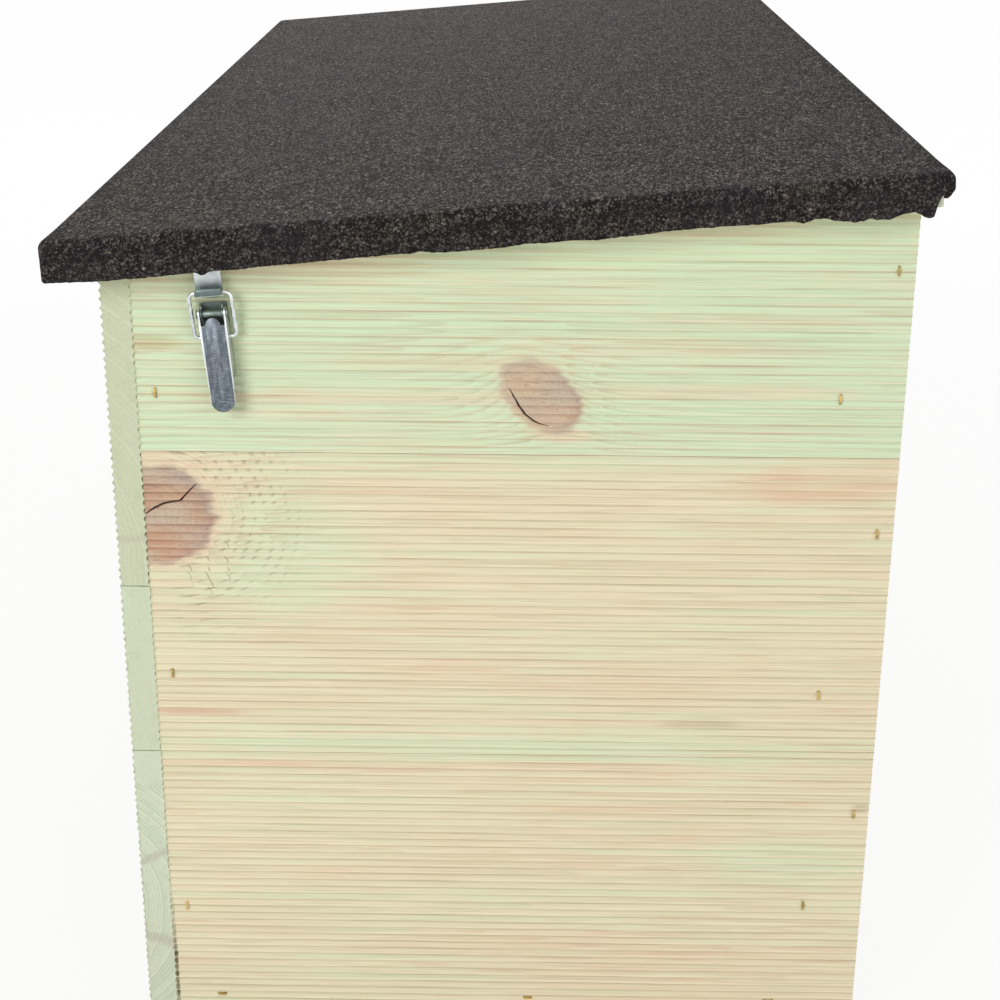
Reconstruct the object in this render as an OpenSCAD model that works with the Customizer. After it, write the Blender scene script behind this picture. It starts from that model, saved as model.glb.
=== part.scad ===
// Hedgehog house: a ribbed board box on a raised floor, with a hinged pent roof and two draw latches.
// The end panels face -Y and +Y, the low long wall faces -X, and the ground is z = 0.

/* [Body] */
// Width of the house over both long walls
body_w = 455; // [400:1:520]
// Length of the house over both end panels
body_l = 1000; // [800:5:1200]
// Height of one full wall board
board_h = 195; // [188:1:215]
// Height of the narrow board in the middle of the low wall
low_filler_h = 110; // [95:1:125]
// Height of the top board of the high wall
high_top_h = 150; // [140:1:170]
// Thickness of a wall board, over the ribs of both faces
board_t = 19; // [17:0.5:22]

/* [Ribs] */
// Distance from one rib to the next
rib_pitch = 5; // [4:0.25:7]
// Depth of the groove between two ribs
rib_depth = 1.3; // [0.6:0.1:2]
// Width of a rib's flat crest
rib_crest = 1.8; // [1:0.1:2.5]

/* [Frame and floor] */
// Side of a corner post's square section
post_side = 25; // [20:1:32]
// Gap between a corner post and the roof
post_top_gap = 12; // [8:1:25]
// Height of a floor bearer
bearer_h = 35; // [28:1:40]
// Width of a floor bearer
bearer_w = 30; // [26:1:40]
// Thickness of a floor board
floor_t = 15; // [12:1:18]
// Gap between floor boards
floor_gap = 2; // [1:0.5:5]

/* [Entrance and partition] */
// Width of the entrance in the low wall
entrance_w = 130; // [110:1:150]
// Height of the wood left above the entrance
entrance_lintel = 15; // [10:1:30]
// Distance of the entrance's middle from the rear end of the wall
entrance_inset = 175; // [155:1:190]
// Distance of the partition's rear face from the outside of the rear panel
partition_inset = 311; // [290:1:340]
// Width of the doorway in the partition
doorway_w = 120; // [100:1:140]
// Height of the doorway
doorway_h = 140; // [120:1:150]
// Side of the square cleat behind each end of the partition
cleat_side = 20; // [15:1:25]
// Gap between each end of the partition and the wall
partition_gap = 0.5; // [0.3:0.1:2]

/* [Roof] */
// Roof overhang past the low wall
overhang_low = 22; // [15:1:40]
// Roof overhang past the high wall
overhang_high = 10; // [8:0.5:14]
// Roof overhang past each end panel
overhang_end = 25; // [25:1:40]
// Thickness of the roof boards
deck_t = 16; // [14:1:22]
// Width of a roof board, except the one at the high wall, which fills what is left
roof_board_w = 120; // [110:1:125]
// Gap between roof boards
deck_gap = 1; // [0.5:0.5:3]
// Thickness of the roofing felt
felt_t = 3; // [2:0.5:4]
// Radius of the felt's upper edges, where it folds down
felt_fold_r = 3; // [1:0.5:5]
// Height of a roof batten
batten_h = 18; // [14:1:24]
// Width of a roof batten
batten_w = 45; // [30:1:60]
// Distance of the outer battens' middle from the ends of the walls
batten_inset = 140; // [110:1:180]
// Gap between a batten's end and the wall beside it
batten_end_gap = 6; // [5:0.5:12]
// Gap between the closed roof and the tops of the walls
roof_seat_gap = 0.3; // [0.2:0.1:0.6]

/* [Hinges] */
// Length of a hinge along its pin
hinge_l = 50; // [40:1:70]
// Width of a hinge leaf from the pin's axis
hinge_leaf_w = 22; // [19:1:23]
// Thickness of a hinge leaf
hinge_leaf_t = 1.5; // [1:0.1:1.6]
// Diameter of the hinge pin
hinge_pin_d = 3; // [2.5:0.1:3.2]
// Gap between neighbouring hinge knuckles
knuckle_gap = 0.2; // [0.1:0.05:0.5]
// Distance of each hinge's middle from the ends of the walls
hinge_inset = 150; // [110:1:220]
// Distance of a hinge's screws from its middle, along the pin
hinge_screw_side = 16; // [10:1:17]

/* [Latches] */
// Distance of the latch from the outside of the low wall, measured under the roof
latch_inset = 62; // [45:0.1:85]
// Distance of the lever's rivet below the roof boards
latch_drop = 31.5; // [29:0.5:34]
// Width of the lever over its sides
latch_w = 15.6; // [15:0.1:17]
// Thickness of the latch's steel sheet
latch_t = 1; // [0.8:0.1:1.2]
// Height of the lever's rivet above the panel
rivet_out = 7; // [6.8:0.1:7.5]
// Diameter of the lever's rivet
rivet_d = 3; // [2.6:0.1:3.2]
// Length of the lever from its rivet to its tip
lever_l = 56.5; // [54:0.5:70]
// Length of the lever's folded sides below the rivet
lever_side_l = 42.7; // [38:0.5:44]
// Height of the lever's outer face above the panel
lever_out = 10.6; // [10.4:0.1:11.5]
// Width of the lever's tip
lever_tip_w = 13.8; // [12:0.1:14]
// Angle at which each side of the lever narrows
lever_taper = 0.8; // [0:0.1:1]
// Outward bend of the lever's tip
lever_tip_bend = 6; // [0:1:12]
// Distance of the wire bail's pivot below the rivet
bail_pivot_drop = 14; // [12:0.5:15]
// Height of the wire bail's pivot above the panel
bail_pivot_out = 5; // [4.8:0.1:5.4]
// Distance of the bail's hooked bar above the rivet
bail_bar_rise = 12.5; // [12:0.5:14]
// Height of the bail's hooked bar above the panel
bail_bar_out = 8; // [7.8:0.1:8.4]
// Width of the wire bail over its sides
bail_w = 25.6; // [24.5:0.1:29]
// Diameter of the bail's wire
wire_d = 2; // [1.8:0.1:2.2]
// Width of the hook plate
hook_w = 15; // [12:0.5:15.5]
// Thickness of the hook plate
hook_t = 1.2; // [1:0.1:1.4]
// Clear width inside the hook
hook_gap = 4.9; // [4.9:0.1:5.4]
// Height of the hook's lip above the bail's bar
hook_lip_rise = 2.7; // [1.5:0.1:3.5]
// Depth of the hook plate's foot under the roof overhang
hook_foot_d = 15; // [12:0.5:16]
// Length of the latch's base plate below the rivet
base_below = 37.5; // [34:0.5:39]
// Length of the latch's base plate above the rivet
base_above = 8; // [6:0.5:8.5]

/* [Fasteners] */
// Width of a staple's crown
staple_w = 6; // [4:0.5:10]
// Thickness of staple wire
staple_wire = 1.1; // [0.8:0.1:1.4]
// Length of a staple's legs
staple_l = 32; // [24:1:40]
// Height of the bottom row of staples above the ground
staple_row_z = 17.8; // [10:0.1:24]
// Diameter of a screw's shank
screw_d = 3; // [2.5:0.1:3.5]
// Diameter of a screw's head
screw_head_d = 5.6; // [5:0.1:6.5]
// Length of a small screw under its head
screw_l = 12; // [8:1:14]
// Length of a batten screw under its head
batten_screw_l = 28; // [22:1:29]
// Diameter of a floor nail's head
nail_head_d = 6; // [4:0.5:8]
// Diameter of a floor nail's shank
nail_d = 2.4; // [1.8:0.1:3.2]
// Length of a floor nail
nail_l = 40; // [30:1:45]

/* [Hidden] */

$fn = 48;
// Running clearance of a pin in its hole, on the radius
pin_fit = 0.05;
// Gap between parts that lie against each other on the roof's slope
lay_gap = 0.05;
// Overlap that lets cuts run clean through a face
cut = 1;
// Number of boards across the roof
deck_boards = 4;
// Number of boards across the floor
floor_boards = 3;

// Heights and slope
low_wall_h = 2 * board_h + low_filler_h;
high_wall_h = 2 * board_h + high_top_h;
slope = atan2(high_wall_h - low_wall_h, body_w);
roof_t = deck_t + felt_t;
floor_z = bearer_h + floor_t;
entrance_h = board_h - floor_z - entrance_lintel;

// The outline of the roof, whose felt leans out at its upper edge, is centred on the origin
felt_lean = (roof_t - felt_fold_r) * sin(slope) + felt_fold_r * (1 - cos(slope));
low_face_x = -(body_w + overhang_high * cos(slope) - overhang_low - felt_lean) / 2;
high_face_x = low_face_x + body_w;
low_inner_x = low_face_x + board_t;
high_inner_x = high_face_x - board_t;
inner_w = high_inner_x - low_inner_x;
floor_board_w = (inner_w - (floor_boards + 1) * floor_gap) / floor_boards;
nail_inset = post_side + 12;
end_y = body_l / 2;
end_inner_y = end_y - board_t;
partition_y = end_y - partition_inset - board_t;

// Roof sizes along the slope, from the outside of the high wall
roof_len = (body_w + overhang_low) / cos(slope) + overhang_high;
roof_low_x = overhang_high - roof_len;
roof_wide = body_l + 2 * overhang_end;
deck_low_x = roof_low_x + felt_t + lay_gap;
deck_len = roof_len - 2 * (felt_t + lay_gap);
deck_wide = roof_wide - 2 * (felt_t + lay_gap);
batten_low_x = -(body_w - board_t) / cos(slope) + batten_end_gap;
batten_high_x = -board_t / cos(slope) - batten_end_gap;
batten_ys = [-(end_y - batten_inset), 0, end_y - batten_inset];

// Hinge sizes
knuckles = 5;
hinge_air = 0.3;
hinge_r = hinge_pin_d / 2 + pin_fit + hinge_leaf_t;
hinge_off = hinge_r + hinge_air;
hinge_x = high_face_x + hinge_off;
hinge_z = high_wall_h + hinge_off * tan(slope) - hinge_off / cos(slope);
knuckle_l = (hinge_l - (knuckles - 1) * knuckle_gap) / knuckles;
hinge_screw_x = (hinge_leaf_w + hinge_off) / 2;
rebate_gap = 0.3;

// Latch sizes
latch_x = -(body_w - latch_inset) / cos(slope);
ear_gap = 0.3;
ear_x = latch_w / 2 - latch_t - ear_gap;
ear_r = 2.8;
ear_up = 5.6;
ear_down = 5;
lever_ring_r = 3.2;
lever_side_in = 2.8;
lever_side_start = 4;
lever_side_slant = 12.7;
lever_tongue_d = 8.5;
lever_tongue_top = 1.7;
lever_bend_z = 46.6;
rivet_head_r = 2.6;
rivet_head_t = 1;
rivet_head_gap = 0.1;
rivet_sleeve_r = 2.2;
bail_lean = atan2(bail_bar_out - bail_pivot_out, bail_bar_rise + bail_pivot_drop);
bail_l = norm([bail_bar_out - bail_pivot_out, bail_bar_rise + bail_pivot_drop]);
bail_side_x = (bail_w - wire_d) / 2;
bail_end_x = latch_w / 2 - latch_t - 1.8;
bail_top_r = 4;
bail_low_r = 3;
hook_bar_gap = 0.4;
hook_bend_r = hook_gap / 2;
hook_in = bail_bar_out - wire_d / 2 - hook_bar_gap;
hook_bend_out = hook_in + hook_bend_r;
hook_play = 0.1;
hook_bend_z = bail_bar_rise
    + sqrt(pow(hook_bend_r - wire_d / 2 - hook_play, 2) - pow(hook_bend_out - bail_bar_out, 2));
hook_screw_x = 3.9;
hook_screw_out = hook_in - hook_t + hook_foot_d * 0.6;
base_screw_zs = [-14, -30];

// Screws and staples
screw_head_h = 1.6;
countersink_h = hinge_leaf_t;
countersink_gap = 0.1;
batten_head_h = 2.4;
batten_head_proud = 0.3;
nail_head_h = 0.8;
staple_sink = 0.6;
staple_in = board_t / 2;
post_staple_in = board_t + post_side / 2;
staple_row_xs = [
    low_inner_x + post_side + 0.6 * staple_w,
    (low_face_x + high_face_x) / 2 + 3 * staple_w,
    high_inner_x - post_side - 1.7 * staple_w
];

wood_green = [0.80, 0.84, 0.70];
wood_pale = [0.87, 0.82, 0.69];
wood_inner = [0.85, 0.78, 0.64];
felt_black = [0.22, 0.21, 0.21];
zinc = [0.72, 0.74, 0.76];
staple_steel = [0.62, 0.60, 0.50];

// Places a child in the roof's own frame: origin under the deck at the high wall's outer face, X up the slope
module on_roof() {
    translate([high_face_x, 0, high_wall_h])
        rotate([0, -slope, 0])
            children();
}

// Everything above the line on which the roof seats
module above_roof_line() {
    on_roof()
        translate([-2 * body_w, -body_l, -roof_seat_gap])
            cube([4 * body_w, 2 * body_l, high_wall_h]);
}

// Height of the roof's underside at one place across the house
function roof_z(x) = high_wall_h + (x - high_face_x) * tan(slope);

function reversed(list) = [for (i = [len(list) - 1 : -1 : 0]) list[i]];

// Grooves of one face, from the bottom edge upwards
function groove_points(h) = [
    for (i = [0 : floor(h / rib_pitch) - 1])
        each [
            [0, i * rib_pitch + rib_crest / 2],
            [rib_depth, (i + 0.5) * rib_pitch],
            [0, (i + 1) * rib_pitch - rib_crest / 2]
        ]
];

// Cross-section of a ribbed board of height h
module rib_profile(h) {
    outer = groove_points(h);
    inner = [for (p = reversed(outer)) [board_t - p[0], p[1]]];
    polygon(concat([[0, 0]], outer, [[0, h], [board_t, h]], inner, [[board_t, 0]]));
}

// Ribbed board along Y, centred on y = 0, from x = 0 inwards
module long_board(length, h) {
    translate([0, length / 2, 0])
        rotate([90, 0, 0])
            linear_extrude(length)
                rib_profile(h);
}

// Ribbed board along X from x = 0, thickness along +Y
module cross_board(length, h) {
    rotate([90, 0, 90])
        linear_extrude(length)
            rib_profile(h);
}

// Cylinder along X or along Y, centred
module along_x(r, length) {
    rotate([0, 90, 0])
        cylinder(h = length, r = r, center = true);
}

module along_y(r, length) {
    rotate([90, 0, 0])
        cylinder(h = length, r = r, center = true);
}

// Copies a front piece to the rear end as its mirror image
module at_rear() {
    mirror([0, 1, 0])
        children();
}

// Walls

module low_wall_bottom_board() {
    color(wood_green)
        difference() {
            translate([low_face_x, 0, 0])
                long_board(body_l, board_h);
            translate([low_face_x - cut, end_y - entrance_inset - entrance_w / 2, floor_z])
                cube([board_t + 2 * cut, entrance_w, entrance_h]);
        }
}

module low_wall_middle_board() {
    color(wood_green)
        translate([low_face_x, 0, board_h])
            long_board(body_l, low_filler_h);
}

module low_wall_top_board() {
    color(wood_green)
        difference() {
            translate([low_face_x, 0, board_h + low_filler_h])
                long_board(body_l, board_h + board_t * tan(slope));
            above_roof_line();
        }
}

module high_wall_bottom_board() {
    color(wood_green)
        translate([high_inner_x, 0, 0])
            long_board(2 * end_inner_y, board_h);
}

module high_wall_middle_board() {
    color(wood_green)
        translate([high_inner_x, 0, board_h])
            long_board(2 * end_inner_y, board_h);
}

module high_wall_top_board() {
    color(wood_green)
        difference() {
            translate([high_inner_x, 0, 2 * board_h])
                long_board(2 * end_inner_y, high_top_h);
            above_roof_line();
            for (side = [-1, 1])
                hinge_rebate(side);
        }
}

// Rebate for the roof leaf of a hinge
module hinge_rebate(side) {
    on_roof()
        translate([
            -2 * board_t,
            side * (end_y - hinge_inset) - hinge_l / 2 - rebate_gap,
            -hinge_leaf_t - rebate_gap
        ])
            cube([3 * board_t, hinge_l + 2 * rebate_gap, 2 * hinge_leaf_t]);
}

// One board of the front panel, standing at height z
module panel_board(z, h) {
    translate([low_inner_x, -end_y, z])
        cross_board(body_w - board_t, h);
}

module panel_top_board() {
    difference() {
        panel_board(2 * board_h, high_top_h);
        above_roof_line();
    }
}

module front_panel_bottom_board() {
    color(wood_pale)
        panel_board(0, board_h);
}

module front_panel_middle_board() {
    color(wood_pale)
        panel_board(board_h, board_h);
}

module front_panel_top_board() {
    color(wood_green)
        panel_top_board();
}

module rear_panel_bottom_board() {
    color(wood_pale)
        at_rear()
            panel_board(0, board_h);
}

module rear_panel_middle_board() {
    color(wood_pale)
        at_rear()
            panel_board(board_h, board_h);
}

module rear_panel_top_board() {
    color(wood_green)
        at_rear()
            panel_top_board();
}

// Frame and floor

// Corner post behind the front panel, its low side at x
module corner_post(x) {
    color(wood_inner)
        translate([x, -end_inner_y, 0])
            cube([post_side, post_side, roof_z(x) - post_top_gap]);
}

module floor_bearer(x, y, length) {
    color(wood_inner)
        translate([x, y, 0])
            cube([length, bearer_w, bearer_h]);
}

// Bearer between the two posts at one end
module end_bearer() {
    floor_bearer(low_inner_x + post_side, -end_inner_y, inner_w - 2 * post_side);
}

// Low side of floor board number i, counted from the low wall
function floor_board_x(i) = low_inner_x + floor_gap + i * (floor_board_w + floor_gap);

// Floor board number i, notched round the corner posts
module floor_board(i) {
    color(wood_inner)
        difference() {
            translate([floor_board_x(i), -end_inner_y + floor_gap, bearer_h])
                cube([floor_board_w, 2 * (end_inner_y - floor_gap), floor_t]);
            for (sx = [0, 1], sy = [0, 1])
                mirror([0, sy, 0])
                    translate([
                        sx == 0 ? low_inner_x - cut : high_inner_x - post_side - floor_gap,
                        -end_inner_y - cut,
                        bearer_h - cut
                    ])
                        cube([post_side + floor_gap + cut, post_side + floor_gap + cut, floor_t + 2 * cut]);
        }
}

module floor_nail(x, y) {
    translate([x, y, floor_z - nail_l])
        cylinder(h = nail_l + nail_head_h / 2, d = nail_d);
    translate([x, y, floor_z])
        cylinder(h = nail_head_h, d = nail_head_d);
}

module floor_nails() {
    bearer_y = end_inner_y - bearer_w / 2;
    color(staple_steel)
        for (i = [0 : floor_boards - 1], y = [-bearer_y, 0, bearer_y])
            for (x = [nail_inset, floor_board_w - nail_inset])
                floor_nail(floor_board_x(i) + x, y);
}

// Partition with its doorway beside the high wall

module partition_board(z, h) {
    translate([low_inner_x + partition_gap, partition_y, z])
        cross_board(inner_w - 2 * partition_gap, h);
}

module partition_lower_board() {
    color(wood_inner)
        difference() {
            partition_board(floor_z, board_h);
            translate([
                high_inner_x - cleat_side - 2 * partition_gap - doorway_w,
                partition_y - cut,
                floor_z - cut
            ])
                cube([doorway_w, board_t + 2 * cut, doorway_h + cut]);
        }
}

module partition_upper_board() {
    color(wood_inner)
        partition_board(floor_z + board_h, board_h);
}

module partition_cleat(x) {
    color(wood_inner)
        translate([x, partition_y + board_t, floor_z])
            cube([cleat_side, cleat_side, 2 * board_h]);
}

// Staples

// Staple in a face that looks along -Y, its crown upright or level
module staple(level) {
    rotate([0, level ? 90 : 0, 0]) {
        translate([-staple_wire / 2, staple_sink - staple_wire, -staple_w / 2])
            cube([staple_wire, staple_wire, staple_w]);
        for (side = [-1, 1])
            translate([0, staple_sink - staple_wire, side * (staple_w - staple_wire) / 2])
                translate([-staple_wire / 2, 0, -staple_wire / 2])
                    cube([staple_wire, staple_l, staple_wire]);
    }
}

// The staples of the front panel: one in each board at each upright, and a row into the bearer
module panel_staples() {
    translate([0, -end_y, 0]) {
        for (z = [0.43 * board_h, 1.27 * board_h, 2.18 * board_h])
            translate([low_inner_x + staple_in, 0, z])
                staple(false);
        for (z = [0.46 * board_h, 1.22 * board_h, 2.18 * board_h])
            translate([high_inner_x - post_side * 0.7, 0, z])
                staple(false);
        for (z = [0.8 * board_h, 1.76 * board_h, 2 * board_h + high_top_h - 1.6 * post_side])
            translate([high_face_x - staple_in, 0, z])
                staple(false);
        for (x = staple_row_xs)
            translate([x, 0, staple_row_z])
                staple(true);
    }
}

// Staples of the low wall, whose ends cover the end panels
module low_wall_staples() {
    zs = [board_h / 2, board_h + low_filler_h / 2, 1.5 * board_h + low_filler_h];
    for (z = zs, side = [-1, 1], in = [staple_in, post_staple_in])
        translate([low_face_x, side * (end_y - in), z])
            rotate([0, 0, -90])
                staple(false);
}

module high_wall_staples() {
    for (z = [board_h / 2, 1.5 * board_h, 2 * board_h + high_top_h / 2], side = [-1, 1])
        translate([high_face_x, side * (end_y - post_staple_in), z])
            rotate([0, 0, 90])
                staple(false);
}

// Staples of the long walls into the ends of the middle bearer
module bearer_staples() {
    translate([low_face_x, 0, staple_row_z])
        rotate([0, 0, -90])
            staple(true);
    translate([high_face_x, 0, staple_row_z])
        rotate([0, 0, 90])
            staple(true);
}

// Staples through the partition into its cleats
module partition_staples() {
    for (z = [0.85 * board_h, 1.5 * board_h])
        for (x = [low_inner_x + cleat_side / 2, high_inner_x - cleat_side / 2])
            translate([x, partition_y, floor_z + z])
                staple(false);
}

module wall_staples() {
    color(staple_steel) {
        panel_staples();
        at_rear()
            panel_staples();
        low_wall_staples();
        high_wall_staples();
        bearer_staples();
        partition_staples();
    }
}

// Roof

// Low edge and width of roof board number i, counted from the low wall
function deck_board_x(i) = deck_low_x + i * (roof_board_w + deck_gap);
function deck_board_w(i) = i < deck_boards - 1 ? roof_board_w : deck_low_x + deck_len - deck_board_x(i);

module roof_board(i) {
    color(wood_inner)
        on_roof()
            translate([deck_board_x(i), -deck_wide / 2, 0])
                cube([deck_board_w(i), deck_wide, deck_t]);
}

module roof_batten(y) {
    color(wood_inner)
        on_roof()
            translate([batten_low_x, y - batten_w / 2, -batten_h - lay_gap])
                cube([batten_high_x - batten_low_x, batten_w, batten_h]);
}

// Section of the felt sheet with rounded upper edges
module felt_section(length) {
    r = felt_fold_r;
    square([length, roof_t - r]);
    translate([r, roof_t - 2 * r])
        square([length - 2 * r, 2 * r]);
    for (x = [r, length - r])
        translate([x, roof_t - r])
            circle(r);
}

module roof_felt() {
    color(felt_black)
        on_roof()
            translate([roof_low_x, -roof_wide / 2, 0])
                difference() {
                    intersection() {
                        translate([0, roof_wide, 0])
                            rotate([90, 0, 0])
                                linear_extrude(roof_wide)
                                    felt_section(roof_len);
                        rotate([90, 0, 90])
                            linear_extrude(roof_len)
                                felt_section(roof_wide);
                    }
                    translate([felt_t, felt_t, -cut])
                        cube([roof_len - 2 * felt_t, roof_wide - 2 * felt_t, deck_t + lay_gap + cut]);
                }
}

module batten_screw() {
    cylinder(h = batten_screw_l, d = screw_d);
    cylinder(h = batten_head_h, d1 = screw_head_d + 1, d2 = screw_d);
}

// Middle of the stretch of batten that lies under roof board number i
function batten_screw_x(i) =
    (max(deck_board_x(i), batten_low_x) + min(deck_board_x(i) + deck_board_w(i), batten_high_x)) / 2;

module batten_screws() {
    color(zinc)
        on_roof()
            for (y = batten_ys, i = [0 : deck_boards - 1])
                translate([batten_screw_x(i), y, -batten_h - lay_gap - batten_head_proud])
                    batten_screw();
}

// Hinges

module at_hinge(side) {
    translate([hinge_x, side * (end_y - hinge_inset), hinge_z])
        children();
}

// Turns a child into the closed roof's slope about the hinge's axis
module roof_side() {
    rotate([0, -slope, 0])
        children();
}

// The knuckles named in list, with the strip that joins each one to a leaf that lies under them
module hinge_knuckles(list) {
    for (i = list)
        translate([0, (i - (knuckles - 1) / 2) * (knuckle_l + knuckle_gap), 0]) {
            along_y(hinge_r, knuckle_l);
            translate([-hinge_off, -knuckle_l / 2, -hinge_off])
                cube([hinge_leaf_t, knuckle_l, hinge_off]);
        }
}

// A leaf that hangs down from the pin, its back at x = -hinge_off
module hinge_leaf(list) {
    difference() {
        union() {
            hinge_knuckles(list);
            translate([-hinge_off, -hinge_l / 2, -hinge_leaf_w])
                cube([hinge_leaf_t, hinge_l, hinge_leaf_w - hinge_off]);
        }
        along_y(hinge_pin_d / 2 + pin_fit, hinge_l + 2 * cut);
        for (side = [-1, 1])
            translate([-hinge_off + hinge_leaf_t, side * hinge_screw_side, -hinge_screw_x])
                rotate([0, -90, 0])
                    countersunk_head(countersink_gap);
    }
}

// Countersunk head and shank going down from z = 0, grown by gap on the radius for its hole
module countersunk_head(gap) {
    cylinder(h = countersink_h, r1 = screw_head_d / 2 + gap, r2 = screw_d / 2 + gap);
    cylinder(h = hinge_leaf_t + cut, r = screw_d / 2 + gap);
}

module countersunk_screw() {
    cylinder(h = countersink_h, d1 = screw_head_d, d2 = screw_d);
    cylinder(h = screw_l, d = screw_d);
}

module hinge_screw_pair() {
    for (side = [-1, 1])
        translate([-hinge_off + hinge_leaf_t, side * hinge_screw_side, -hinge_screw_x])
            rotate([0, -90, 0])
                countersunk_screw();
}

// Turns a hanging leaf up under the roof: its back meets the roof boards
module as_roof_leaf() {
    roof_side()
        rotate([0, 90, 0])
            children();
}

module hinge_wall_leaf(side) {
    color(zinc)
        at_hinge(side)
            hinge_leaf([0, 2, 4]);
}

module hinge_roof_leaf(side) {
    color(zinc)
        at_hinge(side)
            as_roof_leaf()
                hinge_leaf([1, 3]);
}

module hinge_pin(side) {
    color(zinc)
        at_hinge(side)
            along_y(hinge_pin_d / 2, hinge_l);
}

module hinge_wall_screws() {
    color(zinc)
        for (side = [-1, 1])
            at_hinge(side)
                hinge_screw_pair();
}

module hinge_roof_screws() {
    color(zinc)
        for (side = [-1, 1])
            at_hinge(side)
                as_roof_leaf()
                    hinge_screw_pair();
}

// Latches, in a frame at the rivet's height on the panel: -Y is outwards, Z is square to the roof

module at_latch() {
    on_roof()
        translate([latch_x, -end_y, -latch_drop])
            children();
}

// Profile drawn as [outwards, up], pulled to width w along X
module side_sheet(w) {
    translate([-w / 2, 0, 0])
        rotate([0, 0, -90])
            rotate([90, 0, 0])
                mirror([0, 0, 1])
                    linear_extrude(w)
                        children();
}

module latch_base() {
    color(zinc)
        at_latch()
            difference() {
                union() {
                    translate([-latch_w / 2, -latch_t, -base_below])
                        cube([latch_w, latch_t, base_below + base_above]);
                    for (side = [-1, 1])
                        translate([side * (ear_x - latch_t / 2), 0, 0])
                            side_sheet(latch_t) {
                                translate([0, -ear_down])
                                    square([rivet_out, ear_down + ear_up]);
                                translate([rivet_out, 0])
                                    circle(ear_r);
                            }
                }
                translate([0, -rivet_out, 0])
                    along_x(rivet_d / 2 + pin_fit, latch_w);
                for (z = base_screw_zs)
                    translate([0, 0, z])
                        along_y(screw_d / 2 + pin_fit, 4 * latch_t);
            }
}

module latch_rivet() {
    shank_l = latch_w + 2 * rivet_head_gap;
    color(zinc)
        at_latch()
            translate([0, -rivet_out, 0]) {
                along_x(rivet_d / 2, shank_l + rivet_head_t);
                along_x(rivet_sleeve_r, 2 * (ear_x - latch_t - ear_gap));
                for (side = [-1, 1])
                    translate([side * (shank_l + rivet_head_t) / 2, 0, 0])
                        along_x(rivet_head_r, rivet_head_t);
            }
}

// One folded side of the lever, with its rounded end about the rivet
module lever_side() {
    side_sheet(latch_t) {
        translate([rivet_out, 0])
            circle(lever_ring_r);
        polygon([
            [rivet_out - lever_ring_r, 0],
            [lever_side_in, -lever_side_start],
            [lever_side_in, -lever_side_l + lever_side_slant],
            [lever_out - 2.2 * latch_t, -lever_side_l],
            [lever_out - latch_t / 2, -lever_side_l],
            [lever_out - latch_t / 2, -lever_tongue_top - lever_tongue_d / 2],
            [rivet_out + lever_ring_r, 0]
        ]);
    }
}

// Outline of the lever's face as [across, up]
module lever_outline() {
    shoulder = -(lever_tongue_top + lever_tongue_d / 2);
    low_half = latch_w / 2 - lever_side_l * tan(lever_taper);
    polygon([
        [-latch_w / 2, shoulder],
        [latch_w / 2, shoulder],
        [low_half, -lever_side_l],
        [lever_tip_w / 2, -lever_side_l - cut],
        [lever_tip_w / 2, -lever_bend_z],
        [-lever_tip_w / 2, -lever_bend_z],
        [-lever_tip_w / 2, -lever_side_l - cut],
        [-low_half, -lever_side_l]
    ]);
    translate([0, shoulder])
        circle(d = lever_tongue_d);
}

// Outline of the lever's tip below the bend
module lever_tip_outline() {
    straight = lever_l - lever_bend_z - lever_tip_w / 2;
    translate([-lever_tip_w / 2, -straight])
        square([lever_tip_w, straight]);
    translate([0, -straight])
        circle(d = lever_tip_w);
}

// A flat outline stood up as sheet whose outer face looks along -Y
module face_sheet() {
    rotate([90, 0, 0])
        linear_extrude(latch_t)
            children();
}

module latch_lever() {
    web_in = lever_out - latch_t;
    color(zinc)
        at_latch()
            difference() {
                union() {
                    translate([0, -web_in, 0])
                        face_sheet()
                            lever_outline();
                    translate([0, -web_in, -lever_bend_z])
                        rotate([-lever_tip_bend, 0, 0])
                            face_sheet()
                                lever_tip_outline();
                    for (side = [-1, 1])
                        translate([side * (latch_w / 2 - latch_t / 2), 0, 0])
                            rotate([0, side * lever_taper, 0])
                                lever_side();
                }
                translate([0, -rivet_out, 0])
                    along_x(rivet_d / 2 + pin_fit, 2 * latch_w);
                translate([0, -bail_pivot_out, -bail_pivot_drop])
                    along_x(wire_d / 2 + pin_fit, 2 * latch_w);
            }
}

// Quarter bend of the bail's wire about c, as [across, up], starting at angle from
module wire_bend(c, r, from) {
    translate([c[0], 0, c[1]])
        rotate([90, 0, 0])
            rotate([0, 0, from])
                rotate_extrude(angle = 90)
                    translate([r, 0])
                        circle(d = wire_d);
}

// One side of the bail with its bends, down to the end in the lever's side
module bail_side() {
    low_l = bail_side_x - bail_low_r - bail_end_x;
    side_l = bail_l - bail_top_r - bail_low_r;
    wire_bend([bail_side_x - bail_top_r, bail_l - bail_top_r], bail_top_r, 0);
    translate([bail_side_x, 0, bail_low_r])
        cylinder(h = side_l, d = wire_d);
    wire_bend([bail_side_x - bail_low_r, bail_low_r], bail_low_r, -90);
    translate([bail_end_x + low_l / 2, 0, 0])
        along_x(wire_d / 2, low_l);
}

module latch_bail() {
    color(zinc)
        at_latch()
            translate([0, -bail_pivot_out, -bail_pivot_drop])
                rotate([bail_lean, 0, 0]) {
                    translate([0, 0, bail_l])
                        along_x(wire_d / 2, 2 * (bail_side_x - bail_top_r));
                    bail_side();
                    mirror([1, 0, 0])
                        bail_side();
                }
}

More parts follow.
